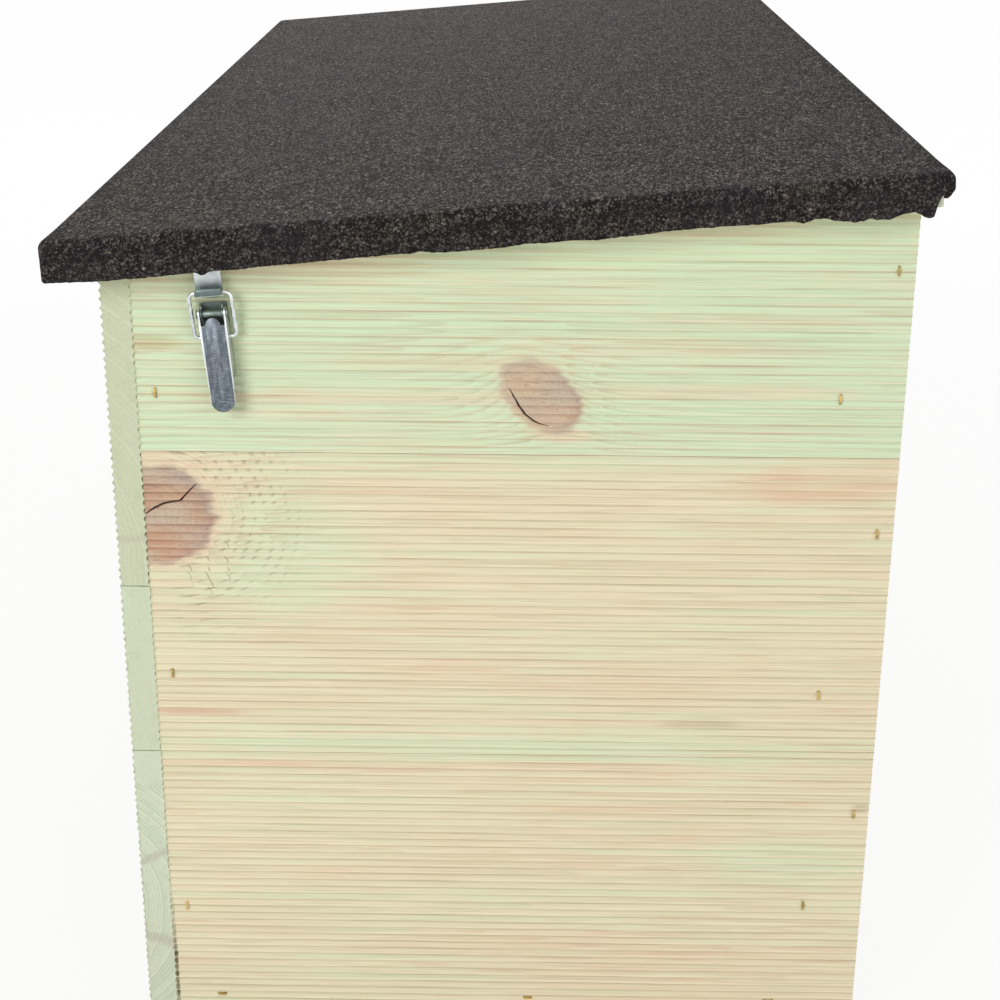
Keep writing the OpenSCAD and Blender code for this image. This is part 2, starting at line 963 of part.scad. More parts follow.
module latch_hook() {
    top = latch_drop - lay_gap;
    color(zinc)
        at_latch()
            difference() {
                side_sheet(hook_w) {
                    translate([hook_in - hook_t, hook_bend_z])
                        square([hook_t, top - hook_bend_z]);
                    translate([hook_in - hook_t, top - hook_t])
                        square([hook_foot_d, hook_t]);
                    translate([hook_in + hook_gap, hook_bend_z])
                        square([hook_t, bail_bar_rise + hook_lip_rise - hook_bend_z]);
                    difference() {
                        translate([hook_bend_out, hook_bend_z])
                            circle(hook_bend_r + hook_t);
                        translate([hook_bend_out, hook_bend_z])
                            circle(hook_bend_r);
                        translate([0, hook_bend_z])
                            square([4 * hook_gap, hook_gap]);
                    }
                }
                for (side = [-1, 1])
                    translate([side * hook_screw_x, -hook_screw_out, top])
                        cylinder(h = 4 * hook_t, r = screw_d / 2 + pin_fit, center = true);
            }
}

// Flat-topped round head and shank, the shank going up from z = 0
module pan_screw() {
    translate([0, 0, -screw_head_h])
        cylinder(h = screw_head_h, d1 = screw_head_d - 1.4, d2 = screw_head_d);
    translate([0, 0, -screw_head_h / 2])
        cylinder(h = screw_l + screw_head_h / 2, d = screw_d);
}

module base_screw_pair() {
    at_latch()
        for (z = base_screw_zs)
            translate([0, -latch_t, z])
                rotate([-90, 0, 0])
                    pan_screw();
}

module latch_base_screws() {
    color(zinc) {
        base_screw_pair();
        at_rear()
            base_screw_pair();
    }
}

module hook_screw_pair() {
    at_latch()
        for (side = [-1, 1])
            translate([side * hook_screw_x, -hook_screw_out, latch_drop - lay_gap - hook_t])
                pan_screw();
}

module latch_hook_screws() {
    color(zinc) {
        hook_screw_pair();
        at_rear()
            hook_screw_pair();
    }
}

low_wall_bottom_board();
low_wall_middle_board();
low_wall_top_board();
high_wall_bottom_board();
high_wall_middle_board();
high_wall_top_board();
front_panel_bottom_board();
front_panel_middle_board();
front_panel_top_board();
rear_panel_bottom_board();
rear_panel_middle_board();
rear_panel_top_board();
corner_post(low_inner_x);  // corner_post_front_low
corner_post(high_inner_x - post_side);  // corner_post_front_high
at_rear() corner_post(low_inner_x);  // corner_post_rear_low
at_rear() corner_post(high_inner_x - post_side);  // corner_post_rear_high
end_bearer();  // floor_bearer_front
floor_bearer(low_inner_x, -bearer_w / 2, inner_w);  // floor_bearer_middle
at_rear() end_bearer();  // floor_bearer_rear
floor_board(0);  // floor_board_low_side
floor_board(1);  // floor_board_middle
floor_board(2);  // floor_board_high_side
partition_lower_board();
partition_upper_board();
partition_cleat(low_inner_x);  // partition_cleat_low
partition_cleat(high_inner_x - cleat_side);  // partition_cleat_high
roof_board(0);  // roof_board_1
roof_board(1);  // roof_board_2
roof_board(2);  // roof_board_3
roof_board(3);  // roof_board_4
roof_batten(batten_ys[0]);  // roof_batten_front
roof_batten(batten_ys[1]);  // roof_batten_middle
roof_batten(batten_ys[2]);  // roof_batten_rear
roof_felt();
batten_screws();
wall_staples();
floor_nails();
hinge_wall_leaf(-1);  // front_hinge_wall_leaf
hinge_roof_leaf(-1);  // front_hinge_roof_leaf
hinge_pin(-1);  // front_hinge_pin
hinge_wall_leaf(1);  // rear_hinge_wall_leaf
hinge_roof_leaf(1);  // rear_hinge_roof_leaf
hinge_pin(1);  // rear_hinge_pin
hinge_wall_screws();
hinge_roof_screws();
latch_base();  // front_latch_base
latch_rivet();  // front_latch_rivet
latch_lever();  // front_latch_lever
latch_bail();  // front_latch_bail
latch_hook();  // front_latch_hook
at_rear() latch_base();  // rear_latch_base
at_rear() latch_rivet();  // rear_latch_rivet
at_rear() latch_lever();  // rear_latch_lever
at_rear() latch_bail();  // rear_latch_bail
at_rear() latch_hook();  // rear_latch_hook
latch_base_screws();
latch_hook_screws();
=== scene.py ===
# %% [markdown]
# Hedgehog house: a tall box of ribbed boards with a felted pent roof that a draw latch holds down.
# This lesson dresses the rigid frame: every board, sheet and fitting gets its real surface and finish.
# All sizes are metres in the frame's own axes: +Z is up, the seen end panel looks along -Y, and the
# low wall is on the left, towards -X.

# %% Load the rigid frame
import math

import bmesh
import bpy
import numpy as np
from mathutils import Matrix, Vector, noise


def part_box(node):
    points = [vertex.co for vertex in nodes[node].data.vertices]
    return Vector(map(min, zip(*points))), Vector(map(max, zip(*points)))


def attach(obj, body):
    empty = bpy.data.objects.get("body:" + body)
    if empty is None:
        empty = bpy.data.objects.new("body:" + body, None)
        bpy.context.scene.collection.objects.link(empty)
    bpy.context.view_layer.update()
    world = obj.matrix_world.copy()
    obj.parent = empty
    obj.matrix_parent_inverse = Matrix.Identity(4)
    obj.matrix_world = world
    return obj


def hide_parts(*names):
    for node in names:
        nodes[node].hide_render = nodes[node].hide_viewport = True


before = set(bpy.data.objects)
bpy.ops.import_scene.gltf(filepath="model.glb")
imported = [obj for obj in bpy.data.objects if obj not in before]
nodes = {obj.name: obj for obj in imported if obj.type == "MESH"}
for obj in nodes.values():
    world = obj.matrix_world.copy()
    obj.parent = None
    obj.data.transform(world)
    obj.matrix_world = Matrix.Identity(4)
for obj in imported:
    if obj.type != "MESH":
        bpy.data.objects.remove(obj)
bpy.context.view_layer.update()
MM = 0.001

# %% [markdown]
# The pieces that are made here fit the frame, so the few sizes that they need are read from it and not
# typed again: the faces of the walls, a board's thickness, and the slope of the roof. The roof has axes of
# its own, which lie in the underside of its boards: along the slope, along the house, and out of it.

# %% Sizes taken from the frame
low_face_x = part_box("low_wall_bottom_board")[0].x
low_inner_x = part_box("low_wall_bottom_board")[1].x
high_face_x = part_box("high_wall_bottom_board")[1].x
front_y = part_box("front_panel_bottom_board")[0].y
rear_y = -front_y
board_t = low_inner_x - low_face_x
body_l = rear_y - front_y
wall_l = body_l - 2 * board_t
low_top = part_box("low_wall_top_board")[1].z
high_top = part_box("high_wall_top_board")[1].z
slope = math.atan2(high_top - low_top, high_face_x - low_inner_x)
seat_gap = 0.3 * MM
roof_start = Vector((high_face_x, 0, high_top + seat_gap / math.cos(slope)))
on_roof = Matrix.Translation(roof_start) @ Matrix.Rotation(-slope, 4, "Y")


def box_in(name, place):
    """Lowest and highest corner of a node's vertices in the axes of place."""
    back = place.inverted()
    points = np.array([back @ v.co for v in nodes[name].data.vertices])
    return Vector(points.min(0)), Vector(points.max(0))


def middle_of(name):
    """The middle of a node's box."""
    low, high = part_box(name)
    return (low + high) / 2


felt_low, felt_high = box_in("roof_felt", on_roof)
deck_low, deck_high = box_in("roof_board_1", on_roof)
print("slope in degrees", round(math.degrees(slope), 3), "felt from", felt_low, "to", felt_high)

# %% [markdown]
# The camera stands in front of the end panel, at twice the house's height, and looks down on it. Its
# place and turn were worked out from the corners of the roof, the wall's edges and the board joints.

# %% Camera at the photograph's angle
camera_place = Vector((17.3, -1507.1, 747.0)) * MM
camera_down = math.radians(20.910)
camera_turn = math.radians(0.713)
camera_roll = math.radians(0.368)
sensor = 36.0
focal_px = 1856.8
frame_px = 1000


def put(name, data):
    """A new object of the scene that holds the data."""
    made = bpy.data.objects.new(name, data)
    bpy.context.scene.collection.objects.link(made)
    return made


eye = bpy.data.cameras.new("eye")
eye.sensor_width = sensor
eye.lens = focal_px * sensor / frame_px
camera = put("camera", eye)
aim = Matrix.Rotation(camera_turn, 4, "Z") @ Matrix.Rotation(math.pi / 2 - camera_down, 4, "X")
camera.matrix_world = Matrix.Translation(camera_place) @ aim @ Matrix.Rotation(camera_roll, 4, "Z")
bpy.context.scene.camera = camera
bpy.context.scene.view_settings.view_transform = "Standard"
print("lens in millimetres", round(eye.lens, 3))

# %% [markdown]
# Finishes and growing shapes are both trees of nodes. Writing them as expressions keeps them readable:
# a Wire stands for one output socket, and arithmetic on it adds the Math nodes. Any other node comes
# from one method, which sets the node's settings first and its sockets after that. The few groups of
# nodes that every finish needs, such as noise and the closing shader, are methods too.


# %% Node trees written as expressions
class Graph:
    """A node tree that is filled by expressions."""

    def __init__(self, tree):
        self.tree = tree
        tree.nodes.clear()

    def add(self, kind, settings=None, sockets=None, out=0):
        node = self.tree.nodes.new(kind)
        for name, value in (settings or {}).items():
            if name == "stops":
                fill_ramp(node.color_ramp, value)
            else:
                setattr(node, name, value)
        for name, value in (sockets or {}).items():
            self.feed(node.inputs[name], value)
        return Wire(self, node.outputs[out]) if node.outputs else node

    def feed(self, socket, value):
        if isinstance(value, Wire):
            self.tree.links.new(value.socket, socket)
        else:
            socket.default_value = value

    def math(self, operation, *values):
        return self.add("ShaderNodeMath", {"operation": operation}, dict(enumerate(values)))

    def vector(self, x, y, z):
        return self.add("ShaderNodeCombineXYZ", sockets={0: x, 1: y, 2: z})

    def point(self):
        """The point of the surface in metres, whole and as its X, Y and Z."""
        whole = self.add("ShaderNodeTexCoord", out="Object")
        parts = self.add("ShaderNodeSeparateXYZ", sockets={0: whole})
        return whole, [parts.also(name) for name in "XYZ"]

    def noise(self, where, scale=1.0, detail=2.0):
        """Noise from 0 to 1, with scale lumps in each unit of where."""
        sockets = {"Vector": where, "Scale": scale, "Detail": detail}
        return self.add("ShaderNodeTexNoise", sockets=sockets)

    def close(self, height, reach, strength, sockets):
        """Ends a finish: relief of that height, and a shader with those sockets."""
        relief = {"Strength": strength, "Distance": reach, "Height": height}
        bump = self.add("ShaderNodeBump", sockets=relief)
        shader = self.add("ShaderNodeBsdfPrincipled", sockets={**sockets, "Normal": bump})
        self.add("ShaderNodeOutputMaterial", sockets={"Surface": shader})


class Wire:
    """One output socket, on which arithmetic adds Math nodes."""

    def __init__(self, graph, socket):
        self.graph = graph
        self.socket = socket

    def also(self, name):
        """Another output of the same node."""
        return Wire(self.graph, self.socket.node.outputs[name])

    def math(self, operation, *others):
        return self.graph.math(operation, self, *others)

    def __add__(self, other):
        return self.math("ADD", other)

    def __sub__(self, other):
        return self.math("SUBTRACT", other)

    def __rsub__(self, other):
        return self.graph.math("SUBTRACT", other, self)

    def __mul__(self, other):
        return self.math("MULTIPLY", other)

    def __truediv__(self, other):
        return self.math("DIVIDE", other)

    def __rtruediv__(self, other):
        return self.graph.math("DIVIDE", other, self)

    def __pow__(self, other):
        return self.math("POWER", other)

    __radd__ = __add__
    __rmul__ = __mul__

    def rise(self, low, high):
        """0 below low, 1 above high and smooth between them."""
        sockets = {"Value": self, "From Min": low, "From Max": high}
        return self.graph.add("ShaderNodeMapRange", {"interpolation_type": "SMOOTHSTEP"}, sockets)

    def hump(self, start, full, fading, gone):
        """Rises from start to full, and falls again from fading to gone."""
        return self.rise(start, full) * (1 - self.rise(fading, gone))

    def length(self):
        """The length of a vector."""
        return self.graph.add("ShaderNodeVectorMath", {"operation": "LENGTH"}, {0: self}, out="Value")


def fill_ramp(ramp, stops):
    while len(ramp.elements) < len(stops):
        ramp.elements.new(1)
    for element, (place, value) in zip(ramp.elements, stops):
        element.position = place
        element.color = value


def paint(red, green, blue):
    """A colour that is given in the 0 to 255 steps of a screen, as Blender's linear values."""
    share = [c / 255 for c in (red, green, blue)]
    return tuple(c / 12.92 if c <= 0.04045 else ((c + 0.055) / 1.055) ** 2.4 for c in share) + (1.0,)


def blend(factor, first, second):
    """Goes from the first colour to the second as factor goes from 0 to 1."""
    sockets = {0: factor, 6: first, 7: second}
    return factor.graph.add("ShaderNodeMix", {"data_type": "RGBA"}, sockets, out=2)


def new_finish(name):
    """A new material, and the graph that fills its tree."""
    material = bpy.data.materials.new(name)
    material.use_nodes = True
    return material, Graph(material.node_tree)


print("expressions ready")

# %% [markdown]
# A product picture like this has a white ground and soft light from above and a little from the left.
# The world and the floor look white to the camera and to polished metal, while the light that falls on
# the house comes from broad lamps and a grey world, at a level where a colour keeps its value. Near the
# house the floor is a little less white, so that its soft shadow stays. Three weaker lamps stand behind
# and beside it, so that its other walls are seen as well.


# %% World, floor and lamps
def seen_directly(graph):
    """1 for rays that should meet the white ground, 0 for the rays that light the object."""
    path = graph.add("ShaderNodeLightPath")
    return path.math("MAXIMUM", path.also("Is Glossy Ray")).math("MAXIMUM", path.also("Is Transmission Ray"))


world_light = 0.4
bpy.context.scene.world = bpy.data.worlds.new("studio")
bpy.context.scene.world.use_nodes = True
sky = Graph(bpy.context.scene.world.node_tree)
strength = world_light + seen_directly(sky) * (1 - world_light)
backdrop = sky.add("ShaderNodeBackground", sockets={"Color": (1, 1, 1, 1), "Strength": strength})
sky.add("ShaderNodeOutputWorld", sockets={"Surface": backdrop})

floor_half = 8.0
shadow_from, shadow_to = 0.8, 2.2
white_near, white_far = 0.88, 0.99
floor_mesh = bpy.data.meshes.new("floor")
floor_corners = [(x * floor_half, y * floor_half, 0) for x, y in ((-1, -1), (1, -1), (1, 1), (-1, 1))]
floor_mesh.from_pydata(floor_corners, [], [(0, 1, 2, 3)])
floor_finish, ground = new_finish("pale_floor")
matt = ground.add("ShaderNodeBsdfDiffuse", sockets={"Color": paint(232, 231, 228)})
white = ground.add("ShaderNodeEmission", sockets={"Color": (1, 1, 1, 1), "Strength": 1.0})
away = ground.add("ShaderNodeTexCoord", out="Object").length().rise(shadow_from, shadow_to)
shown_white = seen_directly(ground) * (white_near + away * (white_far - white_near))
mixed = ground.add("ShaderNodeMixShader", sockets={0: shown_white, 1: matt, 2: white})
ground.add("ShaderNodeOutputMaterial", sockets={"Surface": mixed})
floor_mesh.materials.append(floor_finish)
floor = put("floor", floor_mesh)

lamps = {
    "key_lamp": ((-1.3, -2.7, 1.5), (0, -0.5, 0.3), 1.2, 36),
    "fill_lamp": ((1.9, -2.6, 0.9), (0, -0.4, 0.3), 1.8, 16),
    "top_lamp": ((0.2, 0.4, 2.8), (0, 0, 0.5), 1.8, 24),
    "right_lamp": ((2.4, 0.7, 0.9), (0.2, 0, 0.3), 1.8, 13),
    "left_lamp": ((-2.5, 0.9, 0.9), (-0.2, 0, 0.3), 1.8, 11),
    "rear_lamp": ((-0.5, 2.9, 1.1), (0, 0.5, 0.3), 1.6, 21),
}
for name, (place, target, width, power) in lamps.items():
    light = bpy.data.lights.new(name, "AREA")
    light.size = width
    light.energy = power
    holder = put(name, light)
    holder.location = place
    holder.rotation_euler = (Vector(target) - Vector(place)).to_track_quat("-Z", "Y").to_euler()
print("world light", world_light, "and", len(lamps), "soft lamps")

# %% [markdown]
# The walls are ribbed softwood. On the real boards a cutter leaves a sharp crest every 5 mm and a
# hollow flute between two crests. A rule like that is what Geometry Nodes are good at: one tree draws
# the board's profile, both faces of it, and sweeps it along the board. A flute has eight rows of points,
# and its depth varies. The crests wander a little, as planed wood does, and the board's edges are eased
# over a fifth of a flute. The tree's sizes are named inputs, so all fourteen boards come from it.

# %% A tree that grows a ribbed board
RIB_ROWS = 8
UNEVENNESS = 0.8
ARRIS_SHARE = 0.2


def growing_tree(name, inputs):
    """An empty geometry tree with named inputs, and the identifiers to set them by."""
    tree = bpy.data.node_groups.new(name, "GeometryNodeTree")
    tree.interface.new_socket("Geometry", in_out="OUTPUT", socket_type="NodeSocketGeometry")
    tree.interface.new_socket("Start", in_out="INPUT", socket_type="NodeSocketGeometry")
    identifiers = {}
    for label, (kind, value) in inputs.items():
        socket = tree.interface.new_socket(label, in_out="INPUT", socket_type="NodeSocket" + kind)
        socket.default_value = value
        identifiers[label] = socket.identifier
    graph = Graph(tree)
    return graph, graph.add("NodeGroupInput"), identifiers


def end_tree(graph, geometry, finish):
    """Ends a geometry tree in plain geometry that has its finish."""
    plain = graph.add("GeometryNodeRealizeInstances", sockets={"Geometry": geometry})
    coated = graph.add("GeometryNodeSetMaterial", sockets={"Geometry": plain, "Material": finish})
    graph.add("NodeGroupOutput", sockets={"Geometry": coated})


def dotted_line(graph, end, count):
    """A straight curve of count points from the origin to its end."""
    line = graph.add("GeometryNodeCurvePrimitiveLine", sockets={"End": end})
    return graph.add("GeometryNodeResampleCurve", {"mode": "COUNT"}, {"Curve": line, "Count": count})


def store(graph, geometry, **values):
    """The geometry with each value kept on its points under the value's name."""
    for name, value in values.items():
        settings = {"data_type": "FLOAT", "domain": "POINT"}
        sockets = {"Geometry": geometry, "Name": name, "Value": value}
        geometry = graph.add("GeometryNodeStoreNamedAttribute", settings, sockets)
    return geometry


def recall(graph, name, kind="FLOAT"):
    """A value that was kept on the points."""
    return graph.add("GeometryNodeInputNamedAttribute", {"data_type": kind}, {"Name": name})


def take_mesh(carrier):
    """The object's mesh with its modifiers run, as a plain mesh. The object is removed."""
    ready = carrier.evaluated_get(bpy.context.evaluated_depsgraph_get())
    mesh = bpy.data.meshes.new_from_object(ready)
    bpy.data.objects.remove(carrier)
    return mesh


def grow(name, graph, identifiers, values, start=None):
    """Runs a geometry tree once and keeps its result as a plain mesh."""
    carrier = put(name + "_carrier", start or bpy.data.meshes.new(name + "_start"))
    modifier = carrier.modifiers.new("grow", "NODES")
    modifier.node_group = graph.tree
    for label, value in values.items():
        modifier[identifiers[label]] = value
    mesh = take_mesh(carrier)
    mesh.name = name
    return mesh


board, size, board_ids = growing_tree("ribbed_board", {
    "Board Length": ("Float", 0.4),
    "Board Thickness": ("Float", 0.019),
    "Ribs": ("Int", 39),
    "Rib Pitch": ("Float", 0.005),
    "Groove Depth": ("Float", 0.0013),
    "Hollowness": ("Float", 1.9),
    "Wander": ("Float", 0.00022),
    "Drift": ("Float", 0.0011),
    "Arris": ("Float", 0.0004),
    "Spans": ("Int", 18),
    "Seed": ("Int", 1),
    "Finish": ("Material", None),
})
pitch, thickness, seed = size.also("Rib Pitch"), size.also("Board Thickness"), size.also("Seed")
face_rows = size.also("Ribs") * RIB_ROWS + 1
row_count = face_rows * 2
dots = dotted_line(board, (1, 0, 0), row_count)
loop = board.add("GeometryNodeSetSplineCyclic", sockets={"Geometry": dots, "Cyclic": True})
index = board.add("GeometryNodeInputIndex")
far_side = index.math("GREATER_THAN", face_rows - 0.5)
row = index * (1 - far_side) + (row_count - 1 - index) * far_side
height = row * pitch / RIB_ROWS
phase = (row / RIB_ROWS).math("FRACT")
notch = 1 - (phase * 2 - 1).math("ABSOLUTE") ** size.also("Hollowness")
to_edge = height.math("MINIMUM", (face_rows - 1 - row) * pitch / RIB_ROWS)
arris = (1 - to_edge / (pitch * ARRIS_SHARE)).math("MAXIMUM", 0.0) * size.also("Arris")
loop = store(board, loop, height=height, notch=notch, eased=arris, far_side=far_side)
rough_depth = far_side * thickness + (1 - far_side * 2) * notch * MM
outline = board.add("GeometryNodeSetPosition", sockets={
    "Geometry": loop, "Position": board.vector(rough_depth, height, 0.0)})
path = dotted_line(board, (0, 0, 1), size.also("Spans") + 1)
path = store(board, path, along=board.add("GeometryNodeSplineParameter"))
swept = board.add("GeometryNodeCurveToMesh", sockets={
    "Curve": path, "Profile Curve": outline, "Fill Caps": True})
outwards = board.add("GeometryNodeFlipFaces", sockets={"Mesh": swept})

along = (recall(board, "along") - 0.5) * size.also("Board Length")
height, side = recall(board, "height"), recall(board, "far_side")
depth_spot = board.vector(along * 16, height * 190, side * 37 + seed * 3.7)
uneven = board.noise(depth_spot, detail=1.0) - 0.5
groove = recall(board, "notch") * (size.also("Groove Depth") * (1 + uneven * UNEVENNESS))
groove = groove + recall(board, "eased") + (uneven + 0.5) * size.also("Wander")
depth = groove * (1 - side * 2) + side * thickness
drift_spot = board.vector(along * 24, height * 110, side * 19 + seed * 5.1)
drift = board.noise(drift_spot, detail=1.0) - 0.5
ribs_from_edge = height.math("MINIMUM", size.also("Ribs") * pitch - height) / pitch
height = height + drift * size.also("Drift") * ribs_from_edge.math("MINIMUM", 1.0)
placed = board.add("GeometryNodeSetPosition", sockets={
    "Geometry": outwards, "Position": board.vector(along, depth, height)})
end_tree(board, placed, size.also("Finish"))
print("board tree of", len(board.tree.nodes), "nodes")

# %% [markdown]
# Wood looks right when its pattern runs through the board and isn't wrapped round it. So one finish
# works in solid millimetres: it measures the distance to the line of the pith, counts growth rings
# along it, and lets the rings swell round each knot. The flutes then cut the rings into the wavy dashes
# that the real boards show beside a knot, and a board's end shows the same rings as arcs.

# %% A place inside a board, in millimetres
RIB = 5.0


class Solid:
    """A point inside a piece, as distances along, into and up a board, in millimetres."""

    def __init__(self, graph, face):
        parts = graph.point()[1]
        ways = zip(face["axes"], face["origin"], face["turned"])
        self.graph = graph
        self.along, self.into, self.up = ((parts[axis] - start) * (sign / MM) for axis, start, sign in ways)
        ribs = self.up / RIB
        self.rib_place = ribs.math("FRACT")
        self.rib = ribs.math("FLOOR")

    def cloud(self, periods, detail=2.0, shift=0.0):
        """Noise from 0 to 1 whose blots are as long as the periods, along, into and up the board."""
        along, into, up = periods
        spot = self.graph.vector(self.along / along + shift, self.into / into, self.up / up)
        return self.graph.noise(spot, detail=detail)

    def by_rib(self, period, shift=0.0):
        """Noise from 0 to 1 that varies along the board and jumps from one flute to the next."""
        return self.graph.noise(self.graph.vector(self.along / period, self.rib * 3.7, shift))

    def oval(self, centre, reach, tilt=0.0, lean=0.0):
        """0 in the middle of an oval place on the board's face and 1 on its rim."""
        across = self.along - centre[0] + self.into * lean
        rise = self.up - centre[1]
        c, s = math.cos(math.radians(tilt)), math.sin(math.radians(tilt))
        return self.graph.vector(
            (across * c + rise * s) / reach[0], (rise * c - across * s) / reach[1], 0.0).length()


print("wood is measured in millimetres, ribs every", RIB)

# %% [markdown]
# The finish is put together in the order in which wood gets its looks: growth rings, fibres and streaks,
# stains of resin and of the green preservative, the painted shade and painted highlight of the flutes,
# knots, and the sawn end.


# %% The finish of softwood
GREEN = paint(210, 227, 194)
PALE = paint(228, 219, 189)
PEACH = paint(229, 210, 181)
RUST = paint(207, 160, 132)
BARK = paint(168, 132, 110)
MOSS = paint(184, 198, 160)
CREAM = paint(243, 233, 203)
MAUVE = paint(180, 172, 162)
HAIR = paint(170, 150, 118)
RESIN = paint(222, 178, 136)
FLUTE_GREEN = paint(214, 226, 190)
FLUTE_BROWN = paint(194, 172, 134)
DENT_SHADE = paint(74, 66, 44)
TORN_GRAIN = paint(126, 106, 82)
DASH = paint(136, 126, 96)
KNOT_GREY = paint(200, 184, 166)
KNOT_RIM = paint(166, 143, 136)
KNOT_FLECK = paint(150, 116, 100)
KNOT_BROWN = paint(128, 98, 84)
KNOT_RED = paint(170, 104, 82)
KNOT_LIP_HIGHLIGHT = paint(226, 206, 188)
END_YELLOW = paint(206, 208, 184)
END_PALE = paint(232, 234, 214)
END_DARK = paint(158, 170, 144)
END_OLIVE = paint(186, 190, 156)
END_BRUISE = paint(140, 134, 106)
END_GREEN = paint(203, 213, 186)
KNOT_SWELL = 15
KNOT_LEAN = 1.6
DENT_SHADE_FROM, DENT_SHADE_TO = 2.0, 3.5


def streaked(wood, colour, periods, shift, reach, strength, tone, detail=2.0):
    """Puts a tone on a colour where noise of those periods rises through its reach."""
    return blend(wood.cloud(periods, detail, shift).rise(*reach) * strength, colour, tone)


def fluted(wood, colour, period, shift, reach, strength, tone):
    """Puts a tone on single flutes, where their noise rises through its reach."""
    return blend(wood.by_rib(period, shift).rise(*reach) * strength, colour, tone)


def growth(wood, pith, ring, shift, sway, ovals):
    """Latewood lines from 0 to 1, at distances from the pith that swell round the knots."""
    drift = (wood.cloud((420, 150, 160), 1.0, shift) - 0.5) * sway
    drift = drift + (wood.cloud((70, 26, 12), 1.0, shift) - 0.5) * (sway * 0.3)
    radius = wood.graph.vector(wood.into - pith[0], wood.up - pith[1], 0.0).length() + drift
    for oval in ovals:
        radius = radius + KNOT_SWELL / (1 + oval * oval)
    rings = radius / ring + wood.cloud((900, 40, 40), 1.0, shift) * 2
    number = {"W": rings.math("FLOOR")}
    luck = wood.graph.add("ShaderNodeTexWhiteNoise", {"noise_dimensions": "1D"}, number)
    shown = rings.math("FRACT").hump(0.4, 0.9, 0.92, 1.0) * (0.35 + luck * 0.65)
    for oval in ovals:
        shown = shown * (1 + (1 - oval.rise(1.0, 3.5)) * 0.8)
    return shown


def knot_finish(wood, knot, oval, colour, relief):
    """Paints one knot with its rim, its halo and the wavy lines that the flutes cut round it."""
    along, up, half_along, half_up, tilt, heart, halo, waves = knot
    arc_gap, arch_gap, ring_gap = 6.5, 3.0, 3.4
    right, above = wood.along - along, (wood.up - up).rise(-half_up * 0.6, half_up * 0.5)
    wobble = (wood.cloud((13, 13, 8), 2.0, along) - 0.5) * 0.3
    stagger = (wood.by_rib(60, up) - 0.5) * (7 / half_along)
    edge = oval + wobble + stagger
    soft = 0.04 + (1 - halo) * 0.1
    inside = 1 - edge.rise(0.97 - soft, 0.97 + soft)

    arcs = (oval * (half_along / arc_gap) + wobble * 2.5 + stagger * 4).math("FRACT")
    arcs = arcs.hump(0.5, 0.8, 0.85, 0.98)
    around = edge.hump(1.0, 1.12, 1.7, 2.9) * right.rise(-6, 14)
    patchy = wood.cloud((24, 24, 14), 2.0, up).rise(0.36, 0.6)
    dashes = arcs * around * patchy * wood.rib_place.rise(0.3, 0.75) * waves
    arches = (oval * (half_along / arch_gap)).math("FRACT").rise(0.6, 0.95)
    arches = arches * (1 - edge.rise(1.3, 1.6)) * above
    colour = blend((1 - edge.rise(1.02, 1.12 + above * 0.2)) * halo, colour, PEACH)
    colour = blend(arches * halo * 0.4, colour, RUST)
    colour = blend(dashes * 0.55, colour, DASH)

    rings = (edge * (half_along / ring_gap)).math("FRACT").rise(0.55, 0.95)
    # Painted shade in each flute below a crest, partly the knot's own red-brown.
    furrow_shade = wood.rib_place.rise(0.3, 0.85) * (0.25 + wood.by_rib(26, along).rise(0.3, 0.7) * 0.75)
    brown_or_red = blend((up - wood.up).rise(0, half_up * 0.6), KNOT_BROWN, KNOT_RED)
    flesh = streaked(wood, heart, (30, 30, 16), up, (0.36, 0.62), 0.85, KNOT_GREY)
    flesh = blend(edge.rise(0.62, 0.95) * right.rise(2, 14) * 0.5, flesh, KNOT_RIM)
    flesh = blend(rings * 0.2, flesh, BARK)
    flesh = streaked(wood, flesh, (6, 3, 1.0), up, (0.52, 0.75), 0.45, KNOT_FLECK, 3.0)
    flesh = blend(furrow_shade * (0.25 + halo * 0.5), flesh, brown_or_red)
    # Painted highlight on the lip just above each crest.
    flesh = blend((1 - wood.rib_place.rise(0.02, 0.22)) * 0.35, flesh, KNOT_LIP_HIGHLIGHT)
    return blend(inside, colour, flesh), relief + rings * inside * 0.08 + dashes * 0.1


def frayed(wood, colour, place):
    """Dark wavy lines that run down beside a knot, where the grain was torn."""
    along, up, half_along, half_up = place
    line_gap = 11.5
    sway = (wood.by_rib(35, up) - 0.5) * 6 + (wood.rib_place - 0.5) * 2.4 + (wood.up - up) * 0.02
    lines = ((wood.along + sway) / line_gap).math("FRACT").hump(0.4, 0.48, 0.49, 0.57)
    where = 1 - wood.oval((along, up), (half_along, half_up)).rise(0.5, 1.1)
    return streaked(wood, colour, (30, 30, 6), up, (0.38, 0.55), lines * where * 0.5, TORN_GRAIN, 1.0)


def end_grain(wood, lines, late, shift, tint, bands, clear_from):
    """The sawn end: growth rings as pale arcs with a thin dark line beside each, blots and shakes."""
    lines = lines * (1 - wood.up.rise(clear_from - 12, clear_from))
    near_face = 1 - wood.into.rise(0.9, 2.4)
    sawn = streaked(wood, tint, (9, 14, 60), shift, (0.3, 0.7), 0.5, END_YELLOW)
    sawn = blend(lines * late * 1.3, sawn, END_PALE)
    sawn = blend(lines.hump(0.05, 0.3, 0.3, 0.7) * late * 0.8, sawn, END_DARK)
    sawn = streaked(wood, sawn, (5, 6, 8), shift, (0.52, 0.75), 0.3, END_OLIVE, 3.0)
    sawn = streaked(wood, sawn, (5, 1.6, 1.6), shift, (0.5, 0.75), 0.15, BARK)
    sawn = streaked(wood, sawn, (5, 3, 2.2), shift, (0.45, 0.6), near_face * 0.45, END_BRUISE)
    for up, half, lean, strength in bands:
        rough = (wood.cloud((5, 6, 5), 2.0, up) - 0.5) * 6
        reach = (wood.up - up - (wood.into - 9.5) * lean + rough).math("ABSOLUTE")
        sawn = blend((1 - reach.rise(half * 0.2, half)) * strength, sawn, MAUVE)
    return sawn


